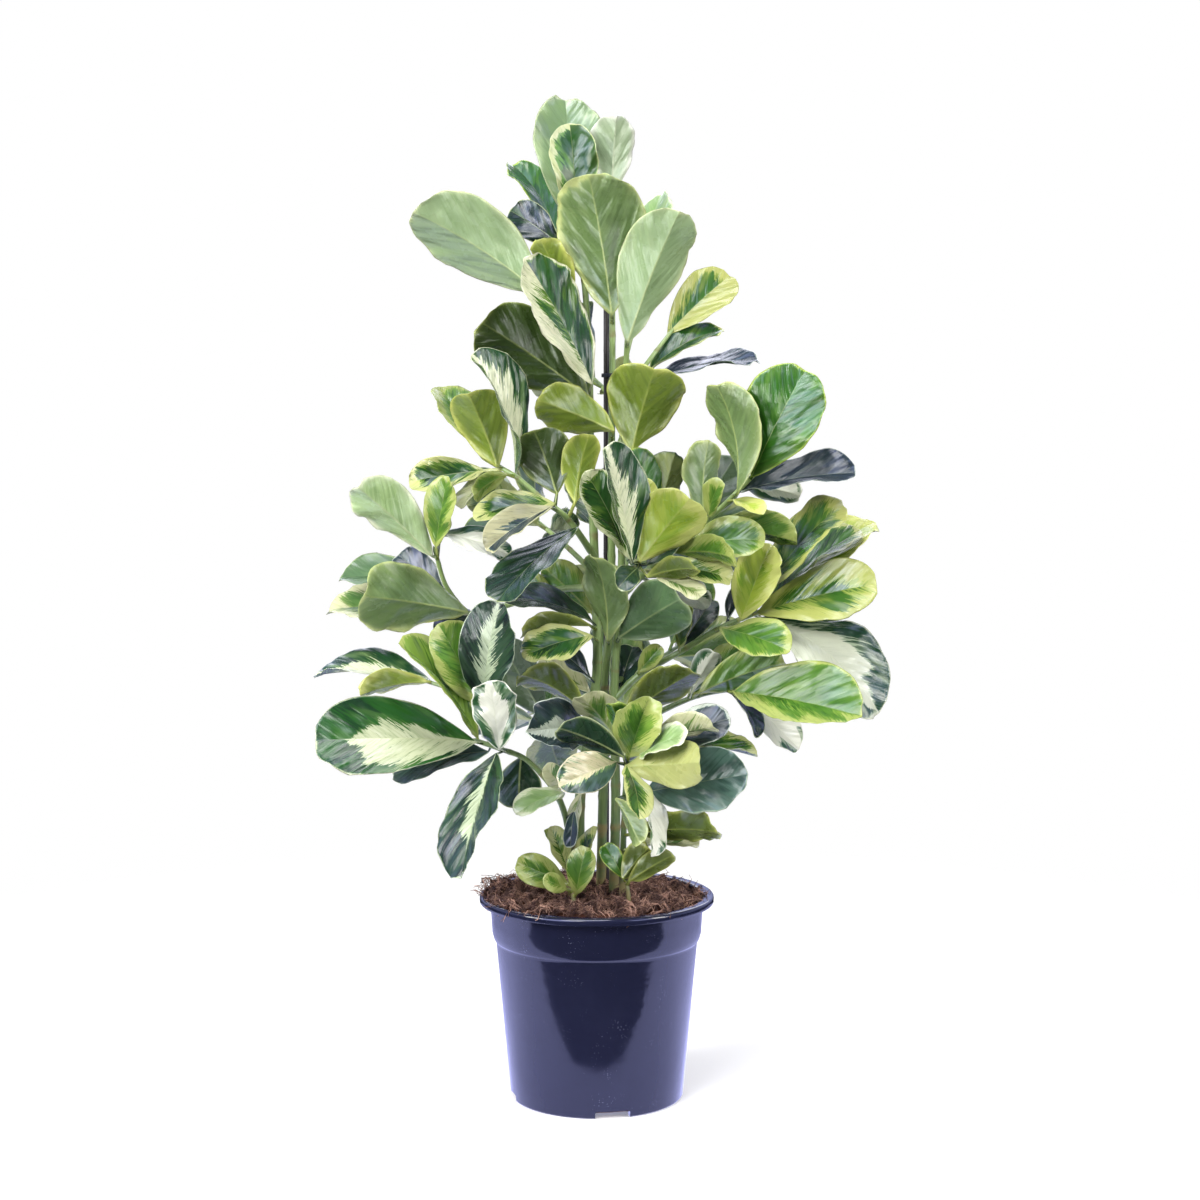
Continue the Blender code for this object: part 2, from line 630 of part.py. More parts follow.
def blade_point(leaf, u, t):
    """Point of the blade's middle surface at u across, -1 to 1, and t along, in metres."""
    along = leaf["tip"] - leaf["foot"]
    length = along.length
    axis = along / length
    turn = Matrix.Rotation(math.radians(leaf["twist"]) * (t - 0.3), 3, axis)
    up = turn @ leaf["normal"]
    side = axis.cross(up)
    half = half_width(t, leaf["width"]) * MM
    arch = 4 * t * (1 - t)
    point = leaf["foot"] + along * t + leaf["normal"] * (leaf["bow"] * length * arch)
    if u == 0 and t == 1:
        point += axis * (0.02 * length)
    fold = math.radians(leaf["fold"])
    point += side * (u * half * math.cos(fold))
    ripple = math.sin(2 * math.pi * leaf["waves"] * t + leaf["phase"] + (1.9 if u > 0 else 0.0))
    lift = abs(u) * half * math.sin(fold) + leaf["cup"] * half * u * u
    lift += leaf["wave"] * leaf["width"] * MM * abs(u) ** 1.5 * ripple * math.sqrt(max(arch, 0))
    return point + up * lift


def blade_normal(leaf, u, t):
    """Direction of the blade's upper face there."""
    e = 0.02
    t = min(max(t, e), 1 - e)
    across = blade_point(leaf, u + e, t) - blade_point(leaf, u - e, t)
    ahead = blade_point(leaf, u, t + e) - blade_point(leaf, u, t - e)
    return across.cross(ahead).normalized()


def leaf_mesh(leaf, rows, thick):
    """Vertices and triangles of one leaf with its stalk, cut alike on both faces."""
    verts = []
    ahead = leaf["foot"] - leaf["root"]
    side = ahead.cross(leaf["normal"])
    if side.length < 0.3 * ahead.length:
        side = (leaf["tip"] - leaf["foot"]).cross(leaf["normal"])
    side.normalize()
    up = side.cross(ahead).normalized()
    for lift in (0.5, -0.5):
        for u in (-1, 1):
            out = side * (u * STALK_HALF * MM) + up * (lift * leaf["stalk"] * MM)
            verts.append(leaf["root"] + out)
    for t in rows:
        share = min(1.0, t / 0.3)
        here = leaf["stalk"] + (thick - leaf["stalk"]) * share
        for face in (0.5, -0.5):
            for u in (-1, 0, 1):
                rib = 1.5 - 0.4 * t if u == 0 and face < 0 and t < 1 else 1.0
                out = blade_normal(leaf, u, t) * (face * rib * here * MM)
                verts.append(blade_point(leaf, u, t) + out)
    faces = [(0, 2, 3), (0, 3, 1)]
    faces += [(0, 5, 4), (0, 1, 5), (1, 6, 5), (2, 7, 8), (2, 8, 3), (3, 8, 9)]
    faces += [(0, 4, 7), (0, 7, 2), (1, 3, 9), (1, 9, 6)]
    for r in range(len(rows) - 1):
        a = 4 + 6 * r
        b = a + 6
        faces += [(a, a + 1, b), (a + 1, b + 1, b), (a + 1, a + 2, b + 2), (a + 1, b + 2, b + 1)]
        faces += [(a + 3, b + 3, a + 4), (a + 4, b + 3, b + 4)]
        faces += [(a + 4, b + 5, a + 5), (a + 4, b + 4, b + 5)]
        faces += [(a, b, b + 3), (a, b + 3, a + 3), (a + 2, a + 5, b + 5), (a + 2, b + 5, b + 2)]
    z = 4 + 6 * (len(rows) - 1)
    faces += [(z, z + 4, z + 3), (z, z + 1, z + 4), (z + 1, z + 5, z + 4), (z + 1, z + 2, z + 5)]
    return verts, faces


def rows_for(leaf):
    """How finely a blade is cut along its length."""
    length = (leaf["tip"] - leaf["foot"]).length
    if length > 85 * MM:
        return ROWS_LONG
    return ROWS_MIDDLE if length > 52 * MM else ROWS_SHORT


def nearest_root(point, paths):
    """A point on the plant's stems a little below the nearest one to the given point."""
    best = None
    for path in paths:
        for i in range(len(path) - 1):
            step = path[i + 1] - path[i]
            t = max(0.0, min(1.0, (point - path[i]).dot(step) / step.length_squared))
            near = path[i] + step * t
            gap = (point - near).length
            if best is None or gap < best[0]:
                best = (gap, near, step.normalized(), path[0])
    gap, near, ahead, start = best
    back = min(0.45 * gap, 9 * MM, 0.9 * (near - start).length)
    return near - ahead * back


def natural_shape(rng, extras):
    """The blade's own bow, fold, cup, wave and twist, drawn within what such leaves show."""
    shape = {
        "bow": rng.uniform(0.03, 0.10),
        "fold": rng.uniform(6, 20),
        "cup": rng.uniform(-0.05, 0.12),
        "wave": rng.uniform(0.012, 0.04),
        "waves": rng.uniform(1.1, 2.1),
        "phase": rng.uniform(0, 6.28),
        "twist": rng.uniform(-14, 14),
        "stalk": STALK_THICK,
    }
    shape.update(extras)
    return shape


def front_leaf(plant, row, shift, rng_shape, ratio, paths):
    """A leaf of the list, moved in depth and rolled by the shift: foot, tip, roll, scale."""
    x0, z0, x1, z1, wide, face, d0, d1 = row[:8]
    foot = seen(plant, x0, z0, d0 + shift[0])
    tip = seen(plant, x1, z1, d1 + shift[1])
    tip = foot + (tip - foot) * shift[3]
    axis = (tip - foot).normalized()
    look = EYE - (foot + tip) / 2
    look = (look - axis * look.dot(axis)).normalized()
    across = axis.cross(look)
    length = (tip - foot).length / MM
    width = max(wide * 1.02, ratio * length) * shift[3]
    lean = math.acos(min(1.0, wide * shift[3] / width))
    sign = 1.0 if face == "upper" else -1.0
    options = [look * sign * math.cos(lean) + across * s * math.sin(lean) for s in (1, -1)]
    normal = max(options, key=lambda n: n.z)
    normal = Matrix.Rotation(math.radians(shift[2]), 3, axis) @ normal
    leaf = dict(rng_shape)
    leaf.update(foot=foot, tip=tip, width=width, normal=normal, root=nearest_root(foot, paths))
    return leaf


def rosette_leaf(path, index, turn, longest, shift, rng_shape, ratio):
    """One leaf of an opposite pair at a twig's end. Inner pairs are shorter and steeper."""
    pair = index // 2
    ahead = (path[-1] - path[-2]).normalized()
    level = Vector((0, 0, 1)).cross(ahead).normalized()
    spin = Matrix.Rotation(math.radians(turn + 90 * pair + 180 * (index % 2) + shift[1]), 3, ahead)
    out = spin @ level
    angle = math.radians(PAIR_FIRST_ANGLE + PAIR_ANGLE_STEP * pair + shift[2])
    axis = ahead * math.cos(angle) + out * math.sin(angle)
    length = longest * (0.72 + 0.28 * min(pair, 2) / 2) * shift[3] * rng_shape["size"] * MM
    root = path[-1] - ahead * (PAIR_STEP * pair * MM)
    foot = root + axis * (12 * MM)
    normal = (ahead - axis * ahead.dot(axis)).normalized()
    leaf = dict(rng_shape)
    leaf.update(foot=foot, tip=foot + axis * length, width=ratio * length / MM,
                normal=normal, root=root)
    return leaf


def solid_box(verts):
    """Lowest and highest corner of the points."""
    low = Vector((min(v[i] for v in verts) for i in range(3)))
    high = Vector((max(v[i] for v in verts) for i in range(3)))
    return low, high


def add_placed(placed, plant, verts, faces, skip=0):
    """Remember a solid for the clearance tests. The first faces of a leaf are its stalk's."""
    low, high = solid_box(verts)
    whole = BVHTree.FromPolygons(verts, faces)
    blade = BVHTree.FromPolygons(verts, faces[skip:]) if skip else whole
    placed.append((plant, low, high, whole, blade))


def crossings(placed, plant, verts, faces, skip):
    """How many faces cross other plants or pieces, and how many cross this plant's own."""
    low, high = solid_box(verts)
    whole = BVHTree.FromPolygons(verts, faces)
    blade = BVHTree.FromPolygons(verts, faces[skip:])
    hard = 0
    own = 0
    for name, other_low, other_high, other_whole, other_blade in placed:
        if any(low[i] > other_high[i] or high[i] < other_low[i] for i in range(3)):
            continue
        if name == plant:
            own += len(blade.overlap(other_blade))
        else:
            hard += len(whole.overlap(other_whole))
    return hard, own


def place(placed, plant, make, shifts):
    """The first of the leaf's shifts that clears everything, or the one that crosses least."""
    best = None
    for shift in shifts:
        leaf = make(shift)
        verts, faces = leaf_mesh(leaf, rows_for(leaf), CLEAR_THICK)
        hard, own = crossings(placed, plant, verts, faces, STALK_FACES)
        if hard == 0 and (best is None or own < best[0]):
            best = (own, leaf, verts, faces)
            if own == 0:
                break
    if best is None:
        return None
    add_placed(placed, plant, best[2], best[3], STALK_FACES)
    return best[1]


def front_shifts():
    """Ways to bend a listed leaf clear, gentlest first: foot depth, tip depth, roll, scale."""
    ways = []
    for scale in (1.0, 0.88):
        for foot in (0, -7, 7):
            for tip in (0, -12, 12, -24, 24, -38, 38, -54, 54):
                for roll in (0, 14, -14, 28, -28):
                    cost = abs(foot) * 1.5 + abs(tip) + abs(roll) * 0.8 + (1 - scale) * 400
                    ways.append((cost, (foot, tip, roll, scale)))
    ways.sort(key=lambda w: w[0])
    return [w[1] for w in ways[:150]]


def rosette_shifts():
    """Ways to bend a rosette's leaf clear: nothing, turn, angle, scale."""
    ways = []
    for scale in (1.0, 0.86, 0.72):
        for turn in (0, 12, -12, 24, -24, 36, -36):
            for angle in (0, 10, -10, 20, 30):
                cost = abs(turn) + abs(angle) + (1 - scale) * 120
                ways.append((cost, (0, turn, angle, scale)))
    ways.sort(key=lambda w: w[0])
    return [w[1] for w in ways]


def fuse(name, pieces, mat):
    """One solid from a plant's closed pieces, without loose scraps or sealed pockets."""
    joined = bpy.data.collections.new(name + "_repeats")
    bpy.context.scene.collection.children.link(joined)
    first = new_object(name, *pieces[0], mat)
    for verts, faces in pieces[1:]:
        piece = new_object(name + "_piece", verts, faces)
        bpy.context.scene.collection.objects.unlink(piece)
        joined.objects.link(piece)
    mod = first.modifiers.new("union", "BOOLEAN")
    mod.operation = "UNION"
    mod.solver = "MANIFOLD"
    mod.operand_type = "COLLECTION"
    mod.collection = joined
    apply_modifier(first, mod)
    for piece in list(joined.objects):
        bpy.data.objects.remove(piece, do_unlink=True)
    bpy.data.collections.remove(joined)
    keep_largest(first)
    smooth(first)
    return first


def keep_largest(obj):
    """Drop every loose part but the largest. A sealed pocket's inner skin is one of them."""
    bm = bmesh.new()
    bm.from_mesh(obj.data)
    todo = set(bm.faces)
    parts = []
    while todo:
        stack = [todo.pop()]
        part = set(stack)
        while stack:
            for edge in stack.pop().edges:
                for face in edge.link_faces:
                    if face in todo:
                        todo.discard(face)
                        part.add(face)
                        stack.append(face)
        parts.append(part)
    parts.sort(key=len, reverse=True)
    for part in parts[1:]:
        bmesh.ops.delete(bm, geom=list(part), context="FACES")
    bmesh.ops.delete(bm, geom=[v for v in bm.verts if not v.link_faces], context="VERTS")
    for angle in FLAT_ANGLES:
        merged = bm.copy()
        bmesh.ops.dissolve_limit(merged, angle_limit=math.radians(angle), verts=merged.verts,
                                 edges=merged.edges)
        bmesh.ops.triangulate(merged, faces=merged.faces)
        whole = all(edge.is_manifold for edge in merged.edges)
        if whole:
            merged.to_mesh(obj.data)
            merged.free()
            bm.free()
            return
        merged.free()
    bm.to_mesh(obj.data)
    bm.free()


def main():
    for obj in list(bpy.data.objects):
        bpy.data.objects.remove(obj, do_unlink=True)
    placed = []
    pot = make_pot()
    soil = make_soil()
    cane = upright_cylinder("support_cane", CANE_AT, CANE_RADIUS, CANE_FOOT_Z, CANE_TOP_Z, 16)
    cane.data.materials.append(material("dark_cane", "1A1613", 0.6))
    smooth(cane)
    tie = make_tie()
    for obj in (pot, soil, cane, tie):
        verts = [v.co.copy() for v in obj.data.vertices]
        faces = [tuple(p.vertices) for p in obj.data.polygons]
        add_placed(placed, obj.name, verts, faces)

    paths = {}
    pieces = {}
    feet = [(*CANE_AT, CANE_RADIUS, CANE_FOOT_Z)]
    for plant, rows in STEMS.items():
        paths[plant] = {}
        pieces[plant] = []
        for row in rows:
            main_stem = row[0] == "main"
            path, radii = stem_path(plant, row, main_stem)
            paths[plant][row[0]] = path
            verts, faces = tube(path, radii, 8 if main_stem else 6)
            pieces[plant].append((verts, faces))
            if main_stem:
                feet.append((path[0].x / MM, path[0].y / MM, row[1], STEM_DEPTH_Z))
                above = [p for p in path[2:]]
                bare = tube(above, radii[2:], 8)
                add_placed(placed, plant, *bare)
            else:
                add_placed(placed, plant, verts, faces)
    for x, y, radius, z in feet:
        hole = upright_cylinder("hole_cutter", (x, y), radius + HOLE_GAP, z - HOLE_GAP, 300, 16)
        cut(soil, hole)

    rng = random.Random(SEED)
    ways = front_shifts()
    for plant, rows in LEAVES.items():
        for row in rows:
            extras = row[8] if len(row) > 8 else {}
            shape = natural_shape(rng, extras)
            ratio = rng.uniform(*NATURAL_RATIO)
            own = list(paths[plant].values())
            leaf = place(placed, plant,
                         lambda shift: front_leaf(plant, row, shift, shape, ratio, own), ways)
            if leaf:
                pieces[plant].append(leaf_mesh(leaf, rows_for(leaf), BLADE_THICK))
    ways = rosette_shifts()
    for plant, twig, pairs, longest, turn in ROSETTES:
        for index in range(2 * pairs):
            shape = natural_shape(rng, {})
            shape["size"] = rng.uniform(0.86, 1.06)
            ratio = rng.uniform(0.52, 0.66)
            path = paths[plant][twig]
            leaf = place(placed, plant,
                         lambda shift: rosette_leaf(path, index, turn, longest, shift, shape,
                                                    ratio), ways)
            if leaf:
                pieces[plant].append(leaf_mesh(leaf, rows_for(leaf), BLADE_THICK))

    for plant, parts in pieces.items():
        colour = "4F7A35" if plant.startswith("stem") else "648A3C"
        fuse(plant, parts, material(plant + "_green", colour, 0.45))
    make_cast_leaf(soil)


def make_cast_leaf(soil):
    """A small leaf lying flat on the highest bumps under it."""
    x, y = CAST_LEAF_AT
    turn = Matrix.Rotation(math.radians(CAST_LEAF_TURN), 3, "Z")
    foot = Vector((x, y, 0)) * MM
    tip = foot + turn @ Vector((0, CAST_LEAF_LENGTH, 0)) * MM
    leaf = {"foot": foot, "tip": tip, "root": foot - (tip - foot) * 0.16,
            "normal": Vector((0, 0, 1)), "width": CAST_LEAF_WIDTH, "bow": 0.0, "fold": 0.0,
            "cup": 0.0, "wave": 0.0, "waves": 1.0, "phase": 0.0, "twist": 0.0,
            "stalk": CAST_LEAF_THICK}
    verts, faces = leaf_mesh(leaf, ROWS_MIDDLE, CAST_LEAF_THICK)
    ground = BVHTree.FromPolygons([v.co.copy() for v in soil.data.vertices],
                                  [tuple(p.vertices) for p in soil.data.polygons])
    start = Vector((0, 0, 2 * RIM_TOP * MM))
    under = []
    for v in verts + [sum((verts[i] for i in face), Vector()) / 3 for face in faces]:
        hit = ground.ray_cast(v + start, Vector((0, 0, -1)))[0]
        under.append(hit.z - v.z)
    lift = max(under) + REST_GAP * MM
    verts = [v + Vector((0, 0, lift)) for v in verts]
    obj = new_object("fallen_leaf", verts, faces, material("cast_leaf", "5F8A36", 0.5))
    smooth(obj)


main()
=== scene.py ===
"""Potted variegated clusia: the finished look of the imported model.

Metres, +Z up, the side that the photograph looks at faces -Y. Each section is one piece or
one group of like pieces, in the order in which a grower would put the pot together.
"""

import math
import random

import bmesh
import bpy
from mathutils import Matrix, Vector, noise
from mathutils.bvhtree import BVHTree


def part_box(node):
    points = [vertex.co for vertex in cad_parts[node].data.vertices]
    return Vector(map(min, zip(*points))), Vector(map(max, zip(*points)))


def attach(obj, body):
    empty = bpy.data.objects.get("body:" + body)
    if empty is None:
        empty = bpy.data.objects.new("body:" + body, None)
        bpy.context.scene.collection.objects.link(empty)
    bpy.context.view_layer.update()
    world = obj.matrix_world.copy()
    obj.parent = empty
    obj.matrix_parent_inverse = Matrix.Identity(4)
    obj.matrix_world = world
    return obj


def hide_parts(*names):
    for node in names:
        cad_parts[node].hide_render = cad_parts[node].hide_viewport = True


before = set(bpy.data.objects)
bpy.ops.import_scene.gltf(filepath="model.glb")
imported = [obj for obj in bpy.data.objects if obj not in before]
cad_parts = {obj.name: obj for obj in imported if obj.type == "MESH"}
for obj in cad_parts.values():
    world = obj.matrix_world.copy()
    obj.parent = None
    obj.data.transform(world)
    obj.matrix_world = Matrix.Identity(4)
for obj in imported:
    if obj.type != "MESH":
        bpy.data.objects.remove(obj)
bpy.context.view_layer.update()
MM = 0.001


# Studio. A pale seamless floor in a white room, under soft light from both sides, above, in
# front and behind, with two low cards that put a shine on the leaves. A bright table top and
# pale panels show only in reflections.

def linear(colour):
    """An sRGB hex colour as the linear RGBA that the shader wants."""
    parts = [int(colour[i:i + 2], 16) / 255 for i in (0, 2, 4)]
    return tuple(c / 12.92 if c <= 0.04045 else ((c + 0.055) / 1.055) ** 2.4 for c in parts) + (1.0,)


def feed(tree, node, inputs):
    """Set a node's inputs to values, sockets or nodes. A list fills its open ones in order."""
    if isinstance(inputs, list):
        inputs = dict(zip([i for i, socket in enumerate(node.inputs) if socket.enabled], inputs))
    for key, value in inputs.items():
        if isinstance(value, bpy.types.Node):
            value = next(out for out in value.outputs if out.enabled)
        if isinstance(value, bpy.types.NodeSocket):
            tree.links.new(value, node.inputs[key])
        else:
            node.inputs[key].default_value = value


def add(tree, kind, inputs=(), **settings):
    """Add a node with its settings, and feed it."""
    node = tree.nodes.new(kind)
    for name, value in settings.items():
        setattr(node, name, value)
    feed(tree, node, inputs or {})
    return node


def new_material(name):
    """An empty node material, its tree and its shader."""
    made = bpy.data.materials.new(name)
    made.use_nodes = True
    return made, made.node_tree, made.node_tree.nodes["Principled BSDF"]


def in_scene(name, data):
    """A scene object for the data."""
    made = bpy.data.objects.new(name, data)
    bpy.context.scene.collection.objects.link(made)
    return made


def new_mesh_object(name, verts, faces, *materials):
    """A mesh object in the scene, smooth shaded."""
    mesh = bpy.data.meshes.new(name)
    mesh.from_pydata([tuple(v) for v in verts], [], faces)
    for made in materials:
        mesh.materials.append(made)
    mesh.polygons.foreach_set("use_smooth", [True] * len(mesh.polygons))
    return in_scene(name, mesh)


# white cove paint: matt, faintly mottled, and let fade out to the white room far from the pot.
# Here and below, a pattern's Scale is how many of its features fit in a metre: 3 gives mottles
# 33 cm wide
cove_paint, tree, shader = new_material("matt_cove_paint")
where = add(tree, "ShaderNodeTexCoord").outputs["Object"]
mottle = add(tree, "ShaderNodeTexNoise", {"Vector": where, "Scale": 3.0})
paint = add(tree, "ShaderNodeMix", [mottle, linear("F6F6F8"), linear("FCFCFD")], data_type="RGBA")
to_camera = add(tree, "ShaderNodeLightPath").outputs["Is Camera Ray"]
lift = add(tree, "ShaderNodeMath", [to_camera, 0.22], operation="MULTIPLY")
feed(tree, shader, {"Base Color": paint, "Roughness": 0.9, "Specular IOR Level": 0.1,
                    "Emission Color": linear("FFFFFF"), "Emission Strength": lift})
away = add(tree, "ShaderNodeVectorMath", [where, (0.0, 0.1, 0.0)], operation="DISTANCE")
fade = add(tree, "ShaderNodeMapRange", [away, 0.7, 1.4], interpolation_type="SMOOTHSTEP")
clear = add(tree, "ShaderNodeBsdfTransparent")
faded = add(tree, "ShaderNodeMixShader", [fade, shader, clear])
feed(tree, tree.nodes["Material Output"], {"Surface": faded})
FLOOR_DROP = 0.0006
corners = [(x, y, -FLOOR_DROP) for x, y in ((-1.5, -1.4), (1.5, -1.4), (1.5, 1.6), (-1.5, 1.6))]
floor = new_mesh_object("studio_floor", corners, [(0, 1, 2, 3)], cove_paint)
floor.visible_glossy = False

# bright white table top that shows only in reflections. It ends just in front of the pot, so
# the pot mirrors it at the sides and the dark room beyond it in the middle. Its front edge
# bulges on both sides, which lets the dark patch on the pot narrow evenly downwards
table_glow, tree, shader = new_material("lit_table_top")
where = add(tree, "ShaderNodeTexCoord").outputs["Object"]
side, depth, _ = add(tree, "ShaderNodeSeparateXYZ", [where]).outputs
side = add(tree, "ShaderNodeMath", [side], operation="ABSOLUTE")
level = add(tree, "ShaderNodeMapRange", [side, 0.03, 0.35, 2.3, 2.9])
fall = add(tree, "ShaderNodeMapRange", [depth, 0.1, 0.6, 1.0, 0.4])
level = add(tree, "ShaderNodeMath", [level, fall], operation="MULTIPLY")
lit = add(tree, "ShaderNodeEmission", {"Color": linear("C0C4FF"), "Strength": level})
feed(tree, tree.nodes["Material Output"], {"Surface": lit})
TABLE_EDGE = [(0.084, -0.217), (0.20, -0.247), (0.325, -0.252), (0.474, -0.212), (0.85, -0.20),
              (0.85, 0.9)]
edge = TABLE_EDGE + [(-x, y) for x, y in reversed(TABLE_EDGE)]
glow = new_mesh_object("table_in_reflections", [(x, y, -FLOOR_DROP / 2) for x, y in edge],
                       [tuple(range(len(edge)))], table_glow)
glow.visible_camera = glow.visible_diffuse = glow.visible_shadow = False
glow.visible_transmission = False

# the room: white to the eye, dim below the horizon, and brighter at its sides and back than in
# front in glancing reflections
world = bpy.data.worlds.new("soft_room")
bpy.context.scene.world = world
world.use_nodes = True
tree = world.node_tree
path = add(tree, "ShaderNodeLightPath").outputs
where = add(tree, "ShaderNodeTexCoord").outputs["Generated"]
_, depth, up = add(tree, "ShaderNodeSeparateXYZ", [where]).outputs
above = add(tree, "ShaderNodeMapRange", [up, -0.15, 0.25])
walls = add(tree, "ShaderNodeMix", [above, linear("1B1C26"), linear("808086")], data_type="RGBA")
for ray, colour in (("Is Glossy Ray", "8A90BA"), ("Is Camera Ray", "FFFFFF")):
    walls = add(tree, "ShaderNodeMix", [path[ray], walls, linear(colour)], data_type="RGBA")
wall_glow = add(tree, "ShaderNodeMapRange", [depth, -0.75, 0.1, 0.7, 3.2])
ceiling = add(tree, "ShaderNodeMapRange", [up, 0.35, 0.7, 1.0, 0.4])
wall_glow = add(tree, "ShaderNodeMath", [wall_glow, ceiling], operation="MULTIPLY")
mirrored = add(tree, "ShaderNodeMath", [path["Is Glossy Ray"], above], operation="MULTIPLY")
level = add(tree, "ShaderNodeMix", [path["Is Glossy Ray"], 1.0, 0.03], data_type="FLOAT")
level = add(tree, "ShaderNodeMix", [mirrored, level, wall_glow], data_type="FLOAT")
# pale reflector panels round the plant, seen in the leaves' gloss: where each lies from the
# plant, its half width in degrees and its strength
for aim, reach, bright in (((-0.62, -0.72, 0.30), 22.0, 17.0), ((0.66, -0.70, 0.28), 15.0, 12.0),
                           ((-0.1, -0.62, 0.78), 16.0, 14.0), ((0.25, 0.1, 0.96), 17.0, 10.0)):
    close = add(tree, "ShaderNodeVectorMath", [where, Vector(aim).normalized()],
                operation="DOT_PRODUCT")
    panel = add(tree, "ShaderNodeMapRange",
                [close, math.cos(math.radians(reach)), math.cos(math.radians(reach * 0.6)),
                 0.0, bright], interpolation_type="SMOOTHSTEP")
    panel = add(tree, "ShaderNodeMath", [panel, path["Is Glossy Ray"]], operation="MULTIPLY")
    level = add(tree, "ShaderNodeMath", [level, panel], operation="ADD")
feed(tree, tree.nodes["Background"], {"Color": walls, "Strength": level})

# each lamp's name, place, the height on the pot's axis that it is turned to, width, height,
# power and colour. The two low cards only put a shine on the leaves' lower faces
LAMPS = [
    ("softbox_left", (-2.0, -1.0, 1.25), 0.6, 0.7, 1.4, 49.0, "FFFCF6"),
    ("softbox_right", (2.0, -1.0, 1.25), 0.6, 0.6, 1.3, 38.0, "FFFCF6"),
    ("softbox_top", (-0.2, -0.8, 3.3), 0.6, 1.4, 1.1, 62.0, "FFFFFF"),
    ("softbox_front", (-1.1, -2.5, 2.0), 0.7, 1.1, 0.9, 50.0, "FFFFFF"),
    ("softbox_back", (0.0, 2.4, 1.9), 0.6, 2.4, 1.5, 28.0, "FFFFFF"),
    ("low_card_left", (-0.85, -1.7, 0.3), 0.7, 0.5, 0.8, 24.0, "FFFFFF"),
    ("low_card_right", (0.9, -1.8, 0.45), 0.7, 0.35, 0.7, 12.0, "FFFFFF"),
]
shine_on = bpy.data.collections.new("leaves_that_shine")
for name, at, aim, wide, high, power, colour in LAMPS:
    lamp = bpy.data.lights.new(name, "AREA")
    lamp.shape = "RECTANGLE"
    lamp.size = wide
    lamp.size_y = high
    lamp.energy = power
    lamp.color = linear(colour)[:3]
    holder = in_scene(name, lamp)
    holder.location = at
    toward = Vector((0.0, 0.0, aim)) - Vector(at)
    holder.rotation_euler = toward.to_track_quat("-Z", "Y").to_euler()
    if name.startswith("low_card"):
        holder.visible_diffuse = False
        holder.light_linking.receiver_collection = shine_on

# a long lens nearly level with the crown, shifted a little to frame the plant as in the photo
EYE = Vector((0.0, -2.6, 0.8))
camera = in_scene("camera", bpy.data.cameras.new("camera"))
camera.data.sensor_width = 36.0
camera.data.lens = 67.8
camera.data.shift_x = 0.0027
camera.data.shift_y = -0.055
camera.location = EYE
camera.rotation_euler = (math.radians(90.0 - 3.23), 0.0, 0.0)
bpy.context.scene.camera = camera
bpy.context.scene.view_settings.view_transform = "Standard"


# Pot. A thin-walled nursery pot of dark navy-black polypropylene, injection moulded in one
# shot: turned-down rim, a step under the rim band, a raised floor with a foot ring, four
# drain notches and four drain holes.

# the wall's outline, radius and height in millimetres, up the outside and down the inside
WALL = [
    (0.0, 0.0), (29.6, 0.0), (30.4, 0.3), (32.6, 2.6), (33.4, 3.0), (87.6, 3.0), (88.4, 2.6),
    (90.6, 0.3), (91.4, 0.0), (98.0, 0.0), (99.2, 0.35), (99.9, 1.1), (100.25, 2.2),
    (104.2, 44.0), (108.1, 86.0), (112.1, 129.0), (116.7, 179.2), (117.1, 181.6),
    (117.8, 182.8), (118.9, 183.8), (119.5, 185.0), (120.2, 187.4), (121.4, 191.8),
    (122.3, 206.0), (123.7, 226.0), (124.1, 228.0), (125.2, 229.4), (127.0, 230.0),
    (131.8, 230.6), (133.3, 230.3), (133.9, 229.4), (134.0, 227.2), (134.3, 226.7),
    (134.9, 226.65), (135.5, 226.9), (135.85, 227.6), (136.0, 229.0), (136.0, 231.6),
    (135.8, 232.9), (135.1, 234.0), (134.0, 234.7), (132.4, 235.0), (126.2, 235.0),
    (124.4, 234.8), (123.1, 234.1), (122.2, 232.8), (121.8, 230.5), (120.65, 211.0),
    (119.6, 192.2), (118.3, 188.2), (117.4, 185.7), (116.5, 184.1), (115.3, 182.6),
    (114.9, 180.2), (106.3, 90.0), (98.7, 9.4), (98.0, 7.2), (96.2, 5.7), (94.0, 5.5),
    (34.2, 5.5), (33.2, 5.1), (31.2, 2.9), (30.2, 2.5), (0.0, 2.5),
]
WALL_SIDES = 160
# a notch is 40 mm wide and 8 mm high, with rounded upper corners
NOTCH = [(-20.0, -2.0), (20.0, -2.0), (20.0, 5.8), (19.4, 7.2), (18.0, 8.0), (-18.0, 8.0),
         (-19.4, 7.2), (-20.0, 5.8)]
NOTCH_RADII = (86.0, 106.0)
NOTCH_TURN = 10.5
DRAIN_FROM_AXIS = 62.0
DRAIN_RADIUS = 6.0
DRAIN_HEIGHTS = (-2.0, 9.0)
DRAIN_SIDES = 32


def turned(outline, sides):
    """Vertices and faces of an outline turned about Z. Its points on the axis are poles."""
    verts, rings, faces = [], [], []
    for radius, height in outline:
        around = range(sides if radius > 0 else 1)
        rings.append([len(verts) + k for k in around])
        for k in around:
            a = 2 * math.pi * k / sides
            verts.append(Vector((radius * math.cos(a), radius * math.sin(a), height)) * MM)
    for low, high in zip(rings, rings[1:]):
        for k in range(sides):
            n = (k + 1) % sides
            if len(low) == 1:
                faces.append((low[0], high[n], high[k]))
            elif len(high) == 1:
                faces.append((low[k], low[n], high[0]))
            else:
                faces.append((low[k], low[n], high[n], high[k]))
    return verts, faces


def face_outward(mesh):
    """Turn every face of a closed mesh outward."""
    work = bmesh.new()
    work.from_mesh(mesh)
    bmesh.ops.recalc_face_normals(work, faces=work.faces)
    work.to_mesh(mesh)
    work.free()


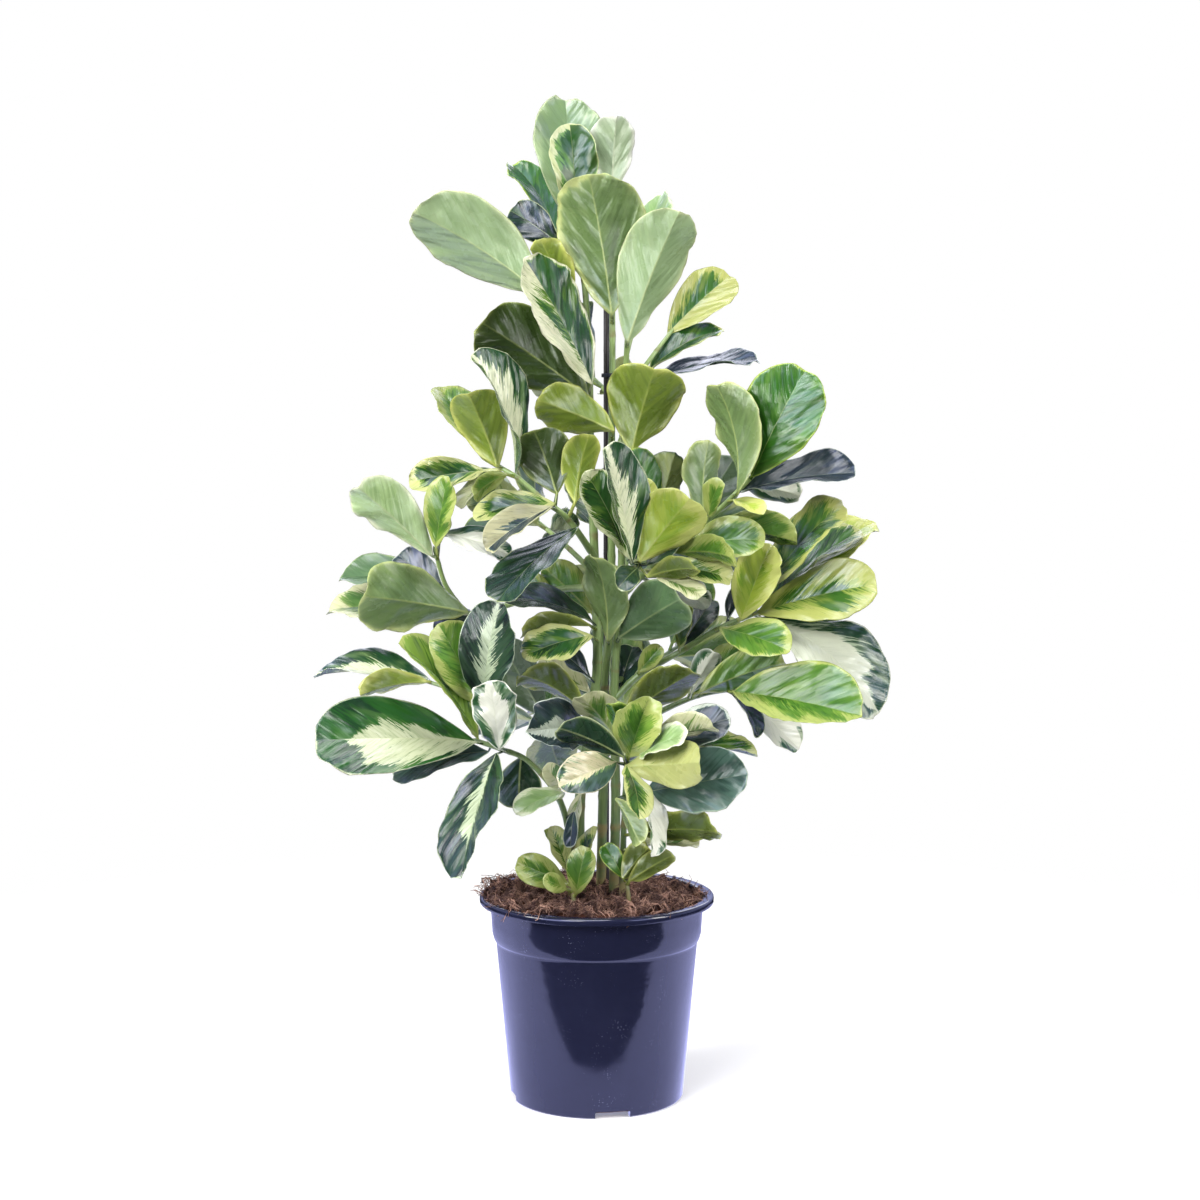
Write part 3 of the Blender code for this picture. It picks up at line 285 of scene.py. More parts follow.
def cut_away(piece, near, far):
    """Take the prism between two like outlines out of the piece."""
    count = len(near)
    faces = [tuple(range(count)), tuple(range(count, 2 * count))]
    faces += [(i, (i + 1) % count, count + (i + 1) % count, count + i) for i in range(count)]
    cutter = new_mesh_object("cutter", near + far, faces)
    face_outward(cutter.data)
    removal = piece.modifiers.new("cut", "BOOLEAN")
    removal.operation = "DIFFERENCE"
    removal.solver = "EXACT"
    removal.object = cutter
    evaluated = piece.evaluated_get(bpy.context.evaluated_depsgraph_get())
    piece.data = bpy.data.meshes.new_from_object(evaluated)
    piece.modifiers.clear()
    bpy.data.objects.remove(cutter, do_unlink=True)


# moulded polypropylene, dark navy masterbatch: satin gloss that blurs the softboxes, a faint
# orange-peel ripple 18 mm long from the mould, dust specks in a 2.4 mm grain, as coarse as they
# need to be to show, and handling scuffs up to 7 cm long
pot_plastic, tree, shader = new_material("moulded_polypropylene")
where = add(tree, "ShaderNodeTexCoord").outputs["Object"]
ripple = add(tree, "ShaderNodeTexNoise", {"Vector": where, "Scale": 55.0, "Detail": 2.0})
scuff = add(tree, "ShaderNodeTexNoise", {"Vector": where, "Scale": 14.0, "Detail": 6.0,
                                         "Roughness": 0.7})
grain = add(tree, "ShaderNodeTexVoronoi", {"Vector": where, "Scale": 420.0}, feature="F1")
dusty = add(tree, "ShaderNodeTexNoise", {"Vector": where, "Scale": 31.0, "Detail": 3.0})
dusty = add(tree, "ShaderNodeMapRange", [dusty, 0.52, 0.68, 0.0, 0.18])
dust = add(tree, "ShaderNodeMath", [grain, dusty], operation="LESS_THAN")
plastic = add(tree, "ShaderNodeMix", [scuff, linear("15172B"), linear("1F223A")],
              data_type="RGBA")
dusted = add(tree, "ShaderNodeMix", [dust, plastic, linear("686C86")], data_type="RGBA")
gloss = add(tree, "ShaderNodeMapRange", [scuff, 0.3, 0.75, 0.09, 0.19])
peel = add(tree, "ShaderNodeBump", {"Height": ripple, "Strength": 0.12, "Distance": 0.002})
feed(tree, shader, {"Base Color": dusted, "Roughness": gloss, "Normal": peel, "IOR": 1.5})

pot = new_mesh_object("nursery_pot", *turned(WALL, WALL_SIDES), pot_plastic)
drain = [2 * math.pi * k / DRAIN_SIDES for k in range(DRAIN_SIDES)]
for quarter in range(4):
    spin = Matrix.Rotation(math.radians(-90 + NOTCH_TURN + 90 * quarter), 3, "Z")
    cut_away(pot, *[[spin @ Vector((x, y, z)) * MM for y, z in NOTCH] for x in NOTCH_RADII])
    spin = Matrix.Rotation(math.radians(-45 + NOTCH_TURN + 90 * quarter), 3, "Z")
    cut_away(pot, *[[spin @ Vector((DRAIN_FROM_AXIS + DRAIN_RADIUS * math.cos(a),
                                    DRAIN_RADIUS * math.sin(a), z)) * MM for a in drain]
                    for z in DRAIN_HEIGHTS])
pot.data.polygons.foreach_set("use_smooth", [True] * len(pot.data.polygons))
pot.data.set_sharp_from_angle(angle=math.radians(40))
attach(pot, "root")
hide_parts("pot")


# Soil. Peat and coir potting mix, loose and dry on top, heaped a little and higher at the
# left. The body is one lump, and crumbs and coir fibres lie all over its top.

SOIL_EDGE_HEIGHT = 224.0
SOIL_HEAP = 9.0
SOIL_MOUND = 9.0
MOUND_AT = (-76.0, 4.0)
MOUND_SPREAD = 26.0
SOIL_RADIUS = 120.9
# how high the loose crumb lies on the packed soil
LOOSE_LIFT = 1.5
# the lump's side, from the middle of its foot up to the edge of its top
SOIL_SIDE = [(0.0, 2.9), (30.7, 2.9), (33.7, 5.9), (96.0, 5.9), (98.0, 8.5), (114.4, 182.1),
             (116.8, 185.8), (118.9, 192.3), (SOIL_RADIUS, 222.0)]
RING = 120
TOP_RINGS = 44


def soil_height(x, y):
    """Height of the packed soil's top at x and y, all in millimetres."""
    share = min(1.0, math.hypot(x, y) / SOIL_RADIUS)
    z = SOIL_EDGE_HEIGHT + SOIL_HEAP * (1 - share * share)
    off = (x - MOUND_AT[0]) ** 2 + (y - MOUND_AT[1]) ** 2
    z += SOIL_MOUND * math.exp(-off / (2 * MOUND_SPREAD ** 2))
    # two low swells, about 60 and 30 mm long
    z += 1.8 * math.sin(0.105 * x + 1.3) * math.cos(0.09 * y - 0.4)
    z += 1.1 * math.sin(0.19 * x - 0.6 + 0.11 * y)
    return z


def bank(x, y):
    """How far the mix is pushed up along the wall, all round but at the right and the back."""
    share = min(1.0, math.hypot(x, y) / SOIL_RADIUS)
    away = 0.5 - 0.5 * math.cos(math.atan2(y, x) - math.radians(50.0))
    return 6.5 * share ** 5 * min(1.0, 1.6 * away) + LOOSE_LIFT


def loose_top(x, y, banked=True):
    """Height of the loose top with its clods and, but in the very middle, its bank."""
    broad = noise.fractal(Vector((x / 21.0, y / 21.0, 3.1)), 0.8, 2.1, 4)
    lumps = noise.noise(Vector((x / 7.0, y / 7.0, 8.3)))
    z = soil_height(x, y) + (6.4 * broad + 2.6 * lumps)
    return z + bank(x, y) if banked else z


# dry coir and peat: dark umber crumb of about 4 mm between redder, sunlit-straw fibres, dead matt.
# It goes near black in patches about 17 mm wide, painted shade of hollows laid at random
peat, tree, shader = new_material("peat_and_coir")
where = add(tree, "ShaderNodeTexCoord").outputs["Object"]
crumb = add(tree, "ShaderNodeTexNoise", {"Vector": where, "Scale": 260.0, "Detail": 5.0})
patch = add(tree, "ShaderNodeTexNoise", {"Vector": where, "Scale": 60.0, "Detail": 3.0})
# near-black in patches about 17 mm wide: painted shade of hollows, laid at random
dark = add(tree, "ShaderNodeMix", [patch, linear("1C0E0A"), linear("55352A")], data_type="RGBA")
peat_and_painted_shade = add(tree, "ShaderNodeMix", [crumb, dark, linear("6C483A")], data_type="RGBA")
loose = add(tree, "ShaderNodeBump", {"Height": crumb, "Strength": 0.9, "Distance": 0.002})
feed(tree, shader, {"Base Color": peat_and_painted_shade, "Roughness": 0.95, "Specular IOR Level": 0.15,
                    "Normal": loose})

verts, faces = turned(SOIL_SIDE, RING)
rim_ring = list(range(len(verts) - RING, len(verts)))
top_start = len(faces)
ring = rim_ring
for step in range(1, TOP_RINGS):
    reach = SOIL_RADIUS * (1 - step / TOP_RINGS)
    inner = list(range(len(verts), len(verts) + RING))
    for k in range(RING):
        a = 2 * math.pi * k / RING
        x, y = reach * math.cos(a), reach * math.sin(a)
        verts.append(Vector((x, y, loose_top(x, y))) * MM)
    faces += [(ring[k], ring[(k + 1) % RING], inner[(k + 1) % RING], inner[k])
              for k in range(RING)]
    ring = inner
verts.append(Vector((0, 0, loose_top(0, 0, banked=False))) * MM)
faces += [(ring[k], ring[(k + 1) % RING], len(verts) - 1) for k in range(RING)]
for i in rim_ring:
    x, y = verts[i].x / MM, verts[i].y / MM
    verts[i].z = (soil_height(x, y) + bank(x, y) - LOOSE_LIFT) * MM
soil = new_mesh_object("potting_mix", verts, faces, peat)
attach(soil, "root")
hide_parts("soil")


def plain_mesh(name, source):
    """What the source's modifiers make of it, as a plain mesh object. The source goes."""
    evaluated = source.evaluated_get(bpy.context.evaluated_depsgraph_get())
    made = in_scene(name, bpy.data.meshes.new_from_object(evaluated))
    bpy.data.objects.remove(source, do_unlink=True)
    return made


def new_tree(name, sizes):
    """A Geometry Nodes tree with named inputs, the outputs of its input node and its end."""
    tree = bpy.data.node_groups.new(name, "GeometryNodeTree")
    tree.interface.new_socket("Geometry", in_out="INPUT", socket_type="NodeSocketGeometry")
    tree.interface.new_socket("Geometry", in_out="OUTPUT", socket_type="NodeSocketGeometry")
    for size, kind in sizes.items():
        tree.interface.new_socket(size, in_out="INPUT", socket_type="NodeSocket" + kind)
    return tree, tree.nodes.new("NodeGroupInput").outputs, tree.nodes.new("NodeGroupOutput")


def run_tree(source, tree, values):
    """Put the tree on the source with its named inputs set by their identifiers."""
    mod = source.modifiers.new(tree.name, "NODES")
    mod.node_group = tree
    for item in tree.interface.items_tree:
        if item.item_type == "SOCKET" and item.in_out == "INPUT" and item.name in values:
            mod[item.identifier] = values[item.name]


def strewn(tree, given, thing, turn, size):
    """The thing on random points of the given mesh."""
    points = add(tree, "GeometryNodeDistributePointsOnFaces",
                 {"Mesh": given["Geometry"], "Density": given["Pieces per square metre"],
                  "Seed": given["Seed"]})
    return add(tree, "GeometryNodeInstanceOnPoints",
               {"Points": points, "Instance": thing, "Rotation": turn, "Scale": size})


# coir fibre: split coconut husk, red-brown to straw, a little glossier than the peat. In patches
# about 16 mm wide the fibres turn nearly to their darkest brown, painted shade of hollows in the
# tangle
coir, tree, shader = new_material("coir_fibre")
shade = add(tree, "ShaderNodeAttribute", attribute_name="shade").outputs["Fac"]
where = add(tree, "ShaderNodeTexCoord").outputs["Object"]
painted_hollow_shade = add(tree, "ShaderNodeTexNoise", {"Vector": where, "Scale": 62.0, "Detail": 2.0})
painted_hollow_shade = add(tree, "ShaderNodeMapRange", [painted_hollow_shade, 0.40, 0.60, 0.04, 1.15])
# the fibre's own random tone, darkened in patches as painted shade of hollows
pale = add(tree, "ShaderNodeMath", [shade, painted_hollow_shade], operation="MULTIPLY")
husk = add(tree, "ShaderNodeMix", [pale, linear("3A2019"), linear("D2A592")], data_type="RGBA")
feed(tree, shader, {"Base Color": husk, "Roughness": 0.8})

tree, given, result = new_tree("coir_scatter", {
    "Pieces per square metre": "Float", "Fibre length": "Float", "Fibre radius": "Float",
    "Curl": "Float", "Seed": "Int", "Fibre": "Material"})
straw = add(tree, "GeometryNodeCurvePrimitiveLine",
            {"Start": (-0.5, 0.0, 0.0), "End": (0.5, 0.0, 0.0)})
jointed = add(tree, "GeometryNodeResampleCurve", {"Curve": straw, "Count": 7})
lean = add(tree, "FunctionNodeRandomValue",
           {0: (-0.5, -0.5, 0.0), 1: (0.5, 0.5, 6.283), "Seed": given["Seed"]},
           data_type="FLOAT_VECTOR")
size = add(tree, "FunctionNodeRandomValue", {2: 0.25, 3: 1.1, "Seed": 5}, data_type="FLOAT")
size = add(tree, "ShaderNodeMath", [size, given["Fibre length"]], operation="MULTIPLY")
laid = strewn(tree, given, jointed, lean, size)
shade = add(tree, "FunctionNodeRandomValue", {2: 0.0, 3: 1.0, "Seed": 9}, data_type="FLOAT")
marked = add(tree, "GeometryNodeStoreNamedAttribute",
             {"Geometry": laid, "Name": "shade", "Value": shade},
             data_type="FLOAT", domain="INSTANCE")
loose = add(tree, "GeometryNodeRealizeInstances", {"Geometry": marked})
place = add(tree, "GeometryNodeInputPosition")
swirl = add(tree, "ShaderNodeTexNoise", {"Vector": place, "Scale": 75.0, "Detail": 1.0})
# a little more up than down, so that the fibres stand out of the crumb
centred = add(tree, "ShaderNodeVectorMath", [swirl.outputs["Color"], (0.5, 0.5, 0.38)],
              operation="SUBTRACT")
push = add(tree, "ShaderNodeVectorMath", [centred, given["Curl"]], operation="SCALE")
curled = add(tree, "GeometryNodeSetPosition", {"Geometry": loose, "Offset": push})
section = add(tree, "GeometryNodeCurvePrimitiveCircle",
              {"Resolution": 3, "Radius": given["Fibre radius"]})
threads = add(tree, "GeometryNodeCurveToMesh",
              {"Curve": curled, "Profile Curve": section, "Fill Caps": True})
coloured = add(tree, "GeometryNodeSetMaterial",
               {"Geometry": threads, "Material": given["Fibre"]})
feed(tree, result, {0: coloured})

# some of the mix lies on the rim, from the left round to the front
RIM_RADIUS = 132.0
RIM_TOP = 236.0
top_faces = faces[top_start:]
spilled = range(RING * 42 // 100, RING * 69 // 100)
for k in spilled:
    a, on_rim = 2 * math.pi * k / RING, len(verts)
    verts.append(Vector((math.cos(a) * MM * RIM_RADIUS, math.sin(a) * MM * RIM_RADIUS,
                         RIM_TOP * MM)))
    if k > spilled[0]:
        top_faces.append((rim_ring[k - 1], on_rim - 1, on_rim, rim_ring[k]))
bed = new_mesh_object("bed", verts, top_faces)
run_tree(bed, tree, {"Pieces per square metre": 92000.0, "Fibre length": 0.028,
                     "Fibre radius": 0.00038, "Curl": 0.040, "Seed": 4, "Fibre": coir})
fibres = plain_mesh("coir_fibres", bed)
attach(fibres, "root")
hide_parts("soil")

# crumbs of peat and bark, 1 to 6 mm, strewn over the same bed
tree, given, result = new_tree("crumb_scatter", {
    "Pieces per square metre": "Float", "Crumb size": "Float", "Seed": "Int",
    "Crumb": "Material"})
grain = add(tree, "GeometryNodeMeshIcoSphere", {"Radius": 0.5, "Subdivisions": 1})
turn = add(tree, "FunctionNodeRandomValue",
           {0: (0.0, 0.0, 0.0), 1: (6.28, 6.28, 6.28), "Seed": 2}, data_type="FLOAT_VECTOR")
flat = add(tree, "FunctionNodeRandomValue",
           {0: (0.3, 0.25, 0.2), 1: (1.1, 0.8, 0.6), "Seed": 3}, data_type="FLOAT_VECTOR")
size = add(tree, "ShaderNodeVectorMath", [flat, given["Crumb size"]], operation="SCALE")
loose = add(tree, "GeometryNodeRealizeInstances",
            {"Geometry": strewn(tree, given, grain, turn, size)})
coloured = add(tree, "GeometryNodeSetMaterial",
               {"Geometry": loose, "Material": given["Crumb"]})
feed(tree, result, {0: coloured})
bed = new_mesh_object("bed", verts, top_faces)
run_tree(bed, tree, {"Pieces per square metre": 70000.0, "Crumb size": 0.0055, "Seed": 8,
                     "Crumb": peat})
crumbs = plain_mesh("peat_crumbs", bed)
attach(crumbs, "root")
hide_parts("soil")


# Cane. A thin bamboo cane stained nearly black, pushed down beside the stems. It has a
# slightly swollen ring at each joint.

# stained bamboo: near-black with fine lengthwise streaks, 1.1 mm wide and 7 cm long, satin
bamboo, tree, shader = new_material("stained_bamboo")
where = add(tree, "ShaderNodeTexCoord").outputs["Object"]
where = add(tree, "ShaderNodeMapping", {"Vector": where, "Scale": (900.0, 900.0, 14.0)})
streak = add(tree, "ShaderNodeTexNoise", {"Vector": where, "Scale": 1.0, "Detail": 3.0})
stain = add(tree, "ShaderNodeMix", [streak, linear("120F0D"), linear("2E2620")],
            data_type="RGBA")
fine = add(tree, "ShaderNodeBump", {"Height": streak, "Strength": 0.3, "Distance": 0.0005})
feed(tree, shader, {"Base Color": stain, "Roughness": 0.5, "Normal": fine})

CANE_AT = Vector((11.2, 31.0, 0.0))
CANE_FOOT = 40.0
CANE_TOP = 932.0
JOINT_SPACING = 118.0
profile = [(0.0, CANE_FOOT), (3.2, CANE_FOOT), (3.45, CANE_FOOT + 0.5)]
z = CANE_FOOT + 0.5 + JOINT_SPACING
while z < CANE_TOP - 1.0:
    profile += [(3.3, z - 4.0), (3.5, z - 1.2), (3.28, z), (3.42, z + 1.4), (3.3, z + 4.0)]
    z += JOINT_SPACING
profile += [(3.4, CANE_TOP - 0.6), (3.2, CANE_TOP), (0.0, CANE_TOP)]
verts, faces = turned(profile, 20)
cane = new_mesh_object("bamboo_cane", [v + CANE_AT * MM for v in verts], faces, bamboo)
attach(cane, "root")
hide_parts("support_cane")


# Tie. A loop of soft black tree tie, a flat rubber band drawn round the cane and the middle
# stem and closed on itself.

# soft extruded rubber: matt black with a grey bloom in 2.5 mm spots
rubber, tree, shader = new_material("soft_rubber_tie")
where = add(tree, "ShaderNodeTexCoord").outputs["Object"]
bloom = add(tree, "ShaderNodeTexNoise", {"Vector": where, "Scale": 400.0, "Detail": 3.0})
tone = add(tree, "ShaderNodeMix", [bloom, linear("101114"), linear("2A2B30")], data_type="RGBA")
feed(tree, shader, {"Base Color": tone, "Roughness": 0.7})

STEM_AT = Vector((18.1, 11.2, 0.0))
TIE_HEIGHT = 836.0
# the band's section: how far out from what it holds, and how high
BAND = [(0.8, -2.0), (1.0, -2.25), (2.1, -2.25), (2.3, -2.0), (2.3, 2.0), (2.1, 2.25),
        (1.0, 2.25), (0.8, 2.0)]
lean = math.atan2(STEM_AT.y - CANE_AT.y, STEM_AT.x - CANE_AT.x)
around = [(centre, radius, start + math.pi * k / 14)
          for centre, radius, start in ((STEM_AT, 4.3, lean - math.pi / 2),
                                        (CANE_AT, 3.5, lean + math.pi / 2)) for k in range(15)]
verts = []
for centre, radius, a in around:
    out = Vector((math.cos(a), math.sin(a), 0.0))
    for far, high in BAND:
        verts.append((centre + out * (radius + far) + Vector((0, 0, TIE_HEIGHT + high))) * MM)
faces = []
for i in range(len(around)):
    a, b = i * len(BAND), (i + 1) % len(around) * len(BAND)
    for k in range(len(BAND)):
        n = (k + 1) % len(BAND)
        faces.append((a + k, b + k, b + n, a + n))
tie = new_mesh_object("tree_tie", verts, faces, rubber)
face_outward(tie.data)
tie.data.set_sharp_from_angle(angle=math.radians(40))
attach(tie, "root")
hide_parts("cane_tie")


# Stems. Fleshy green shoots that turn corky and brown towards the soil, with a swollen ring
# and a leaf scar at each joint. A row is a stem's name, its radius at both ends and the
# points it runs through: right, up and back in millimetres, as seen from the camera.

# the photo is flat, so what is judged of its depth is drawn out by this much
DEPTH_SPREAD = 1.4
STEMS = {
    "stem_left": [
        ("main", 7.0, 3.2, [(-19, 250, -6), (-20, 337, -6), (-10, 420, -6), (0, 490, -6),
                            (0, 560, -6), (-3, 640, -4), (-7, 740, -4), (-9, 865, -2),
                            (-15, 950, 2), (-25, 1015, 6)]),
        ("upper", 4.2, 2.6, [(-1, 625, -5), (-33, 670, -28), (-61, 692, -36),
                             (-90, 717, -34), (-114, 732, -28)]),
        ("outer", 4.2, 2.4, [(-1, 592, -5), (-50, 588, 14), (-100, 572, 14), (-142, 560, 4),
                             (-172, 590, -8), (-186, 632, -14)]),
        ("crown_side", 2.8, 2.2, [(-13, 915, 0), (-38, 922, -2), (-60, 932, -5)]),
        ("crown_back", 2.8, 2.2, [(-19, 970, 4), (-34, 984, 18), (-46, 1000, 30)]),
        ("back_high", 3.6, 2.4, [(-1, 606, -5), (-36, 640, 45), (-78, 676, 85)]),
        ("back_low", 3.6, 2.4, [(-12, 402, -6), (-42, 420, 45), (-70, 446, 90)]),
    ],
    "stem_middle": [
        ("main", 6.0, 3.0, [(5, 250, 10), (7, 337, 10), (9, 420, 12), (9, 490, 12),
                            (17, 560, 12), (17, 640, 10), (17, 740, 8), (18, 865, 8),
                            (17, 960, 8), (16, 1035, 8)]),
        ("back_high", 3.6, 2.4, [(17, 740, 8), (29, 768, 26), (18, 808, 56), (-14, 842, 84)]),
        ("back_mid", 3.8, 2.4, [(16, 560, 12), (30, 588, 26), (34, 612, 64), (32, 656, 104)]),
        ("back_low", 3.8, 2.4, [(9, 395, 12), (24, 410, 28), (32, 430, 62), (38, 458, 104)]),
    ],
    "stem_right": [
        ("main", 6.2, 3.0, [(20, 250, -10), (22, 337, -6), (21, 420, -4), (21, 490, -4),
                            (26, 560, -4), (29, 640, -4), (31, 740, -4), (33, 830, -2),
                            (35, 878, -8)]),
        ("crown_side", 3.0, 2.2, [(33, 815, -2), (61, 854, 2), (84, 884, 16)]),
        ("crown_back", 2.8, 2.2, [(34, 858, -2), (50, 925, 15), (62, 978, 28)]),
        ("upper", 4.4, 2.6, [(27, 580, -4), (66, 618, -16), (114, 658, -22), (150, 690, -27),
                             (179, 720, -30)]),
        ("centre", 3.4, 2.6, [(40, 593, -9), (46, 608, -30), (50, 624, -48)]),
        ("mid", 4.2, 2.6, [(21, 462, -4), (49, 490, -6), (96, 517, -8), (145, 546, -14),
                           (185, 562, -18)]),
        ("lower", 4.2, 2.6, [(21, 412, -4), (60, 440, -2), (114, 465, 0), (159, 474, 0)]),
        ("back_high", 3.6, 2.4, [(28, 604, -4), (68, 630, 45), (108, 662, 86)]),
        ("back_low", 3.6, 2.4, [(21, 482, -4), (58, 500, 50), (92, 522, 96)]),
    ],
    "shoot_left_low": [
        ("main", 4.6, 2.8, [(-30, 254, -28), (-31, 300, -28), (-46, 350, -32), (-80, 390, -40),
                            (-112, 404, -46), (-138, 413, -46)]),
        ("upward", 3.0, 2.2, [(-122, 408, -46), (-133, 440, -42), (-152, 466, -36),
                              (-200, 484, -20)]),
    ],
    "shoot_front": [
        ("main", 4.4, 2.8, [(30, 252, -31), (31, 300, -36), (33, 350, -44), (35, 394, -54)]),
        ("side_low", 2.8, 2.2, [(32, 326, -41), (45, 342, -48), (57, 353, -48)]),
        ("side_high", 2.8, 2.2, [(35, 380, -52), (56, 400, -50), (76, 410, -46)]),
    ],
    "shoot_basal_left": [
        ("main", 3.0, 2.2, [(-27, 232, -66), (-30, 250, -64), (-34, 268, -60)]),
    ],
    "shoot_basal_right": [
        ("main", 2.9, 2.2, [(37, 232, -70), (35, 246, -68), (33, 258, -64)]),
    ],
}
# a joint's ring: how far it spreads along the stem in millimetres, how much thicker the stem
# is there, and how far apart the joints are
JOINT_SPREAD = 2.6
JOINT_SWELLING = 0.13
FIRST_JOINT = (14, 30)
JOINT_SPACINGS = (30, 52)
# the bud at a stem's end: how far ahead, and its share of the stem's radius
BUD = ((2.0, 0.95), (4.5, 0.7), (6.5, 0.4), (8.0, 0.08))
# the main stems go down into the soil to here
STEM_FOOT = (172.0, 212.0)


def seen(plant, x, z, depth):
    """World point of what the eye sees at x and z in the plane of the axis, lying at depth."""
    if "basal" not in plant:
        depth *= DEPTH_SPREAD
    flat = Vector((x * MM, 0.0, z * MM))
    return EYE + (flat - EYE) * (1.0 - depth * MM / EYE.y)


def curve_through(points, steps):
    """Points of a smooth curve through the given ones, a few steps between each two."""
    ends = [2 * points[0] - points[1]] + points + [2 * points[-1] - points[-2]]
    result = []
    for i in range(1, len(ends) - 2):
        a, b, c, d = ends[i - 1:i + 3]
        for k in range(steps):
            t = k / steps
            result.append(0.5 * (2 * b + (c - a) * t + (2 * a - 5 * b + 4 * c - d) * t * t
                                 + (3 * b - a - 3 * c + d) * t ** 3))
    result.append(points[-1].copy())
    return result


# living stem: waxy green skin, olive with lengthwise ridges 2.4 mm wide and 29 mm long, turning
# to grey-brown cork low down and at each leaf joint
stem_skin, tree, shader = new_material("waxy_stem_skin")
where = add(tree, "ShaderNodeTexCoord").outputs["Object"]
stretched = add(tree, "ShaderNodeMapping", {"Vector": where, "Scale": (420.0, 420.0, 35.0)})
ridge = add(tree, "ShaderNodeTexNoise", {"Vector": stretched, "Scale": 1.0, "Detail": 3.0})
blotch = add(tree, "ShaderNodeTexNoise", {"Vector": where, "Scale": 45.0, "Detail": 4.0})
height = add(tree, "ShaderNodeSeparateXYZ", [where]).outputs["Z"]
joint = add(tree, "ShaderNodeAttribute", attribute_name="joint").outputs["Fac"]
young = add(tree, "ShaderNodeMapRange", [height, 0.28, 0.70])
old_skin = add(tree, "ShaderNodeMix", [ridge, linear("45583A"), linear("748C58")],
               data_type="RGBA")
new_skin = add(tree, "ShaderNodeMix", [ridge, linear("6E8C4A"), linear("B0C482")],
               data_type="RGBA")
green = add(tree, "ShaderNodeMix", [young, old_skin, new_skin], data_type="RGBA")
low = add(tree, "ShaderNodeMapRange", [height, 0.24, 0.36, 0.30, 0.0])
spread = add(tree, "ShaderNodeMath", [blotch, low], operation="ADD")
spread = add(tree, "ShaderNodeMath", [spread, joint], operation="ADD")
cork = add(tree, "ShaderNodeMapRange", [spread, 0.62, 0.82])
skin = add(tree, "ShaderNodeMix", [cork, green, linear("81794E")], data_type="RGBA")
dull = add(tree, "ShaderNodeMapRange", [cork, 0.0, 1.0, 0.32, 0.7])
relief = add(tree, "ShaderNodeBump", {"Height": ridge, "Strength": 0.35, "Distance": 0.0008})
feed(tree, shader, {"Base Color": skin, "Roughness": dull, "Normal": relief})

tree, given, result = new_tree("stem_from_path", {"Sides": "Int", "Skin": "Material"})
line = add(tree, "GeometryNodeMeshToCurve", {"Mesh": given["Geometry"]})
section = add(tree, "GeometryNodeCurvePrimitiveCircle",
              {"Resolution": given["Sides"], "Radius": 1.0})
girth = add(tree, "GeometryNodeInputNamedAttribute", {"Name": "girth"}, data_type="FLOAT")
swept = add(tree, "GeometryNodeCurveToMesh",
            {"Curve": line, "Profile Curve": section, "Scale": girth, "Fill Caps": True})
rounded = add(tree, "GeometryNodeSetShadeSmooth", {"Geometry": swept})
skinned = add(tree, "GeometryNodeSetMaterial",
              {"Geometry": rounded, "Material": given["Skin"]})
feed(tree, result, {0: skinned})

stem_paths = {}
grow = random.Random(5)
for plant, rows in STEMS.items():
    stem_paths[plant] = {}
    line_points, girths, joints, links = [], [], [], []
    for name, r_start, r_end, points in rows:
        points = [seen(plant, *point) for point in points]
        stem_paths[plant][name] = curve_through(points, 2)
        path = curve_through(points, 14)
        if name == "main":
            foot = path[0]
            path = [Vector((foot.x, foot.y, z * MM)) for z in STEM_FOOT] + path
            stem_paths[plant][name] = path[:2] + stem_paths[plant][name]
        start = len(line_points)
        far = sum((b - a).length for a, b in zip(path, path[1:])) / MM
        next_joint = grow.uniform(*FIRST_JOINT)
        marks = []
        while next_joint < far:
            marks.append(next_joint)
            next_joint += grow.uniform(*JOINT_SPACINGS)
        gone = 0.0
        for i, point in enumerate(path):
            if i:
                gone += (point - path[i - 1]).length / MM
            near = min((abs(gone - m) for m in marks), default=99.0)
            swell = math.exp(-(near / JOINT_SPREAD) ** 2)
            radius = r_start + (r_end - r_start) * gone / far
            line_points.append(point)
            girths.append(radius * (1.0 + JOINT_SWELLING * swell) * MM)
            joints.append(0.20 * swell)
        ahead = (path[-1] - path[-2]).normalized()
        for step, share in BUD:
            line_points.append(path[-1] + ahead * step * MM)
            girths.append(r_end * share * MM)
            joints.append(0.0)
        links += [(k, k + 1) for k in range(start, len(line_points) - 1)]
    mesh = bpy.data.meshes.new(plant + "_line")
    mesh.from_pydata(line_points, links, [])
    for name, values in (("girth", girths), ("joint", joints)):
        mesh.attributes.new(name, "FLOAT", "POINT").data.foreach_set("value", values)
    line = in_scene(plant + "_line", mesh)
    run_tree(line, tree, {"Sides": 12, "Skin": stem_skin})
    stems = plain_mesh(plant + "_stems", line)
    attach(stems, "root")
    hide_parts(plant)


# Leaves. Thick leathery paddles on short stalks, in opposite pairs. Each is grown as one, with
# a raised midrib underneath, and is variegated in green, lime and cream along its fine side
# veins. A row is one leaf that the photo shows.

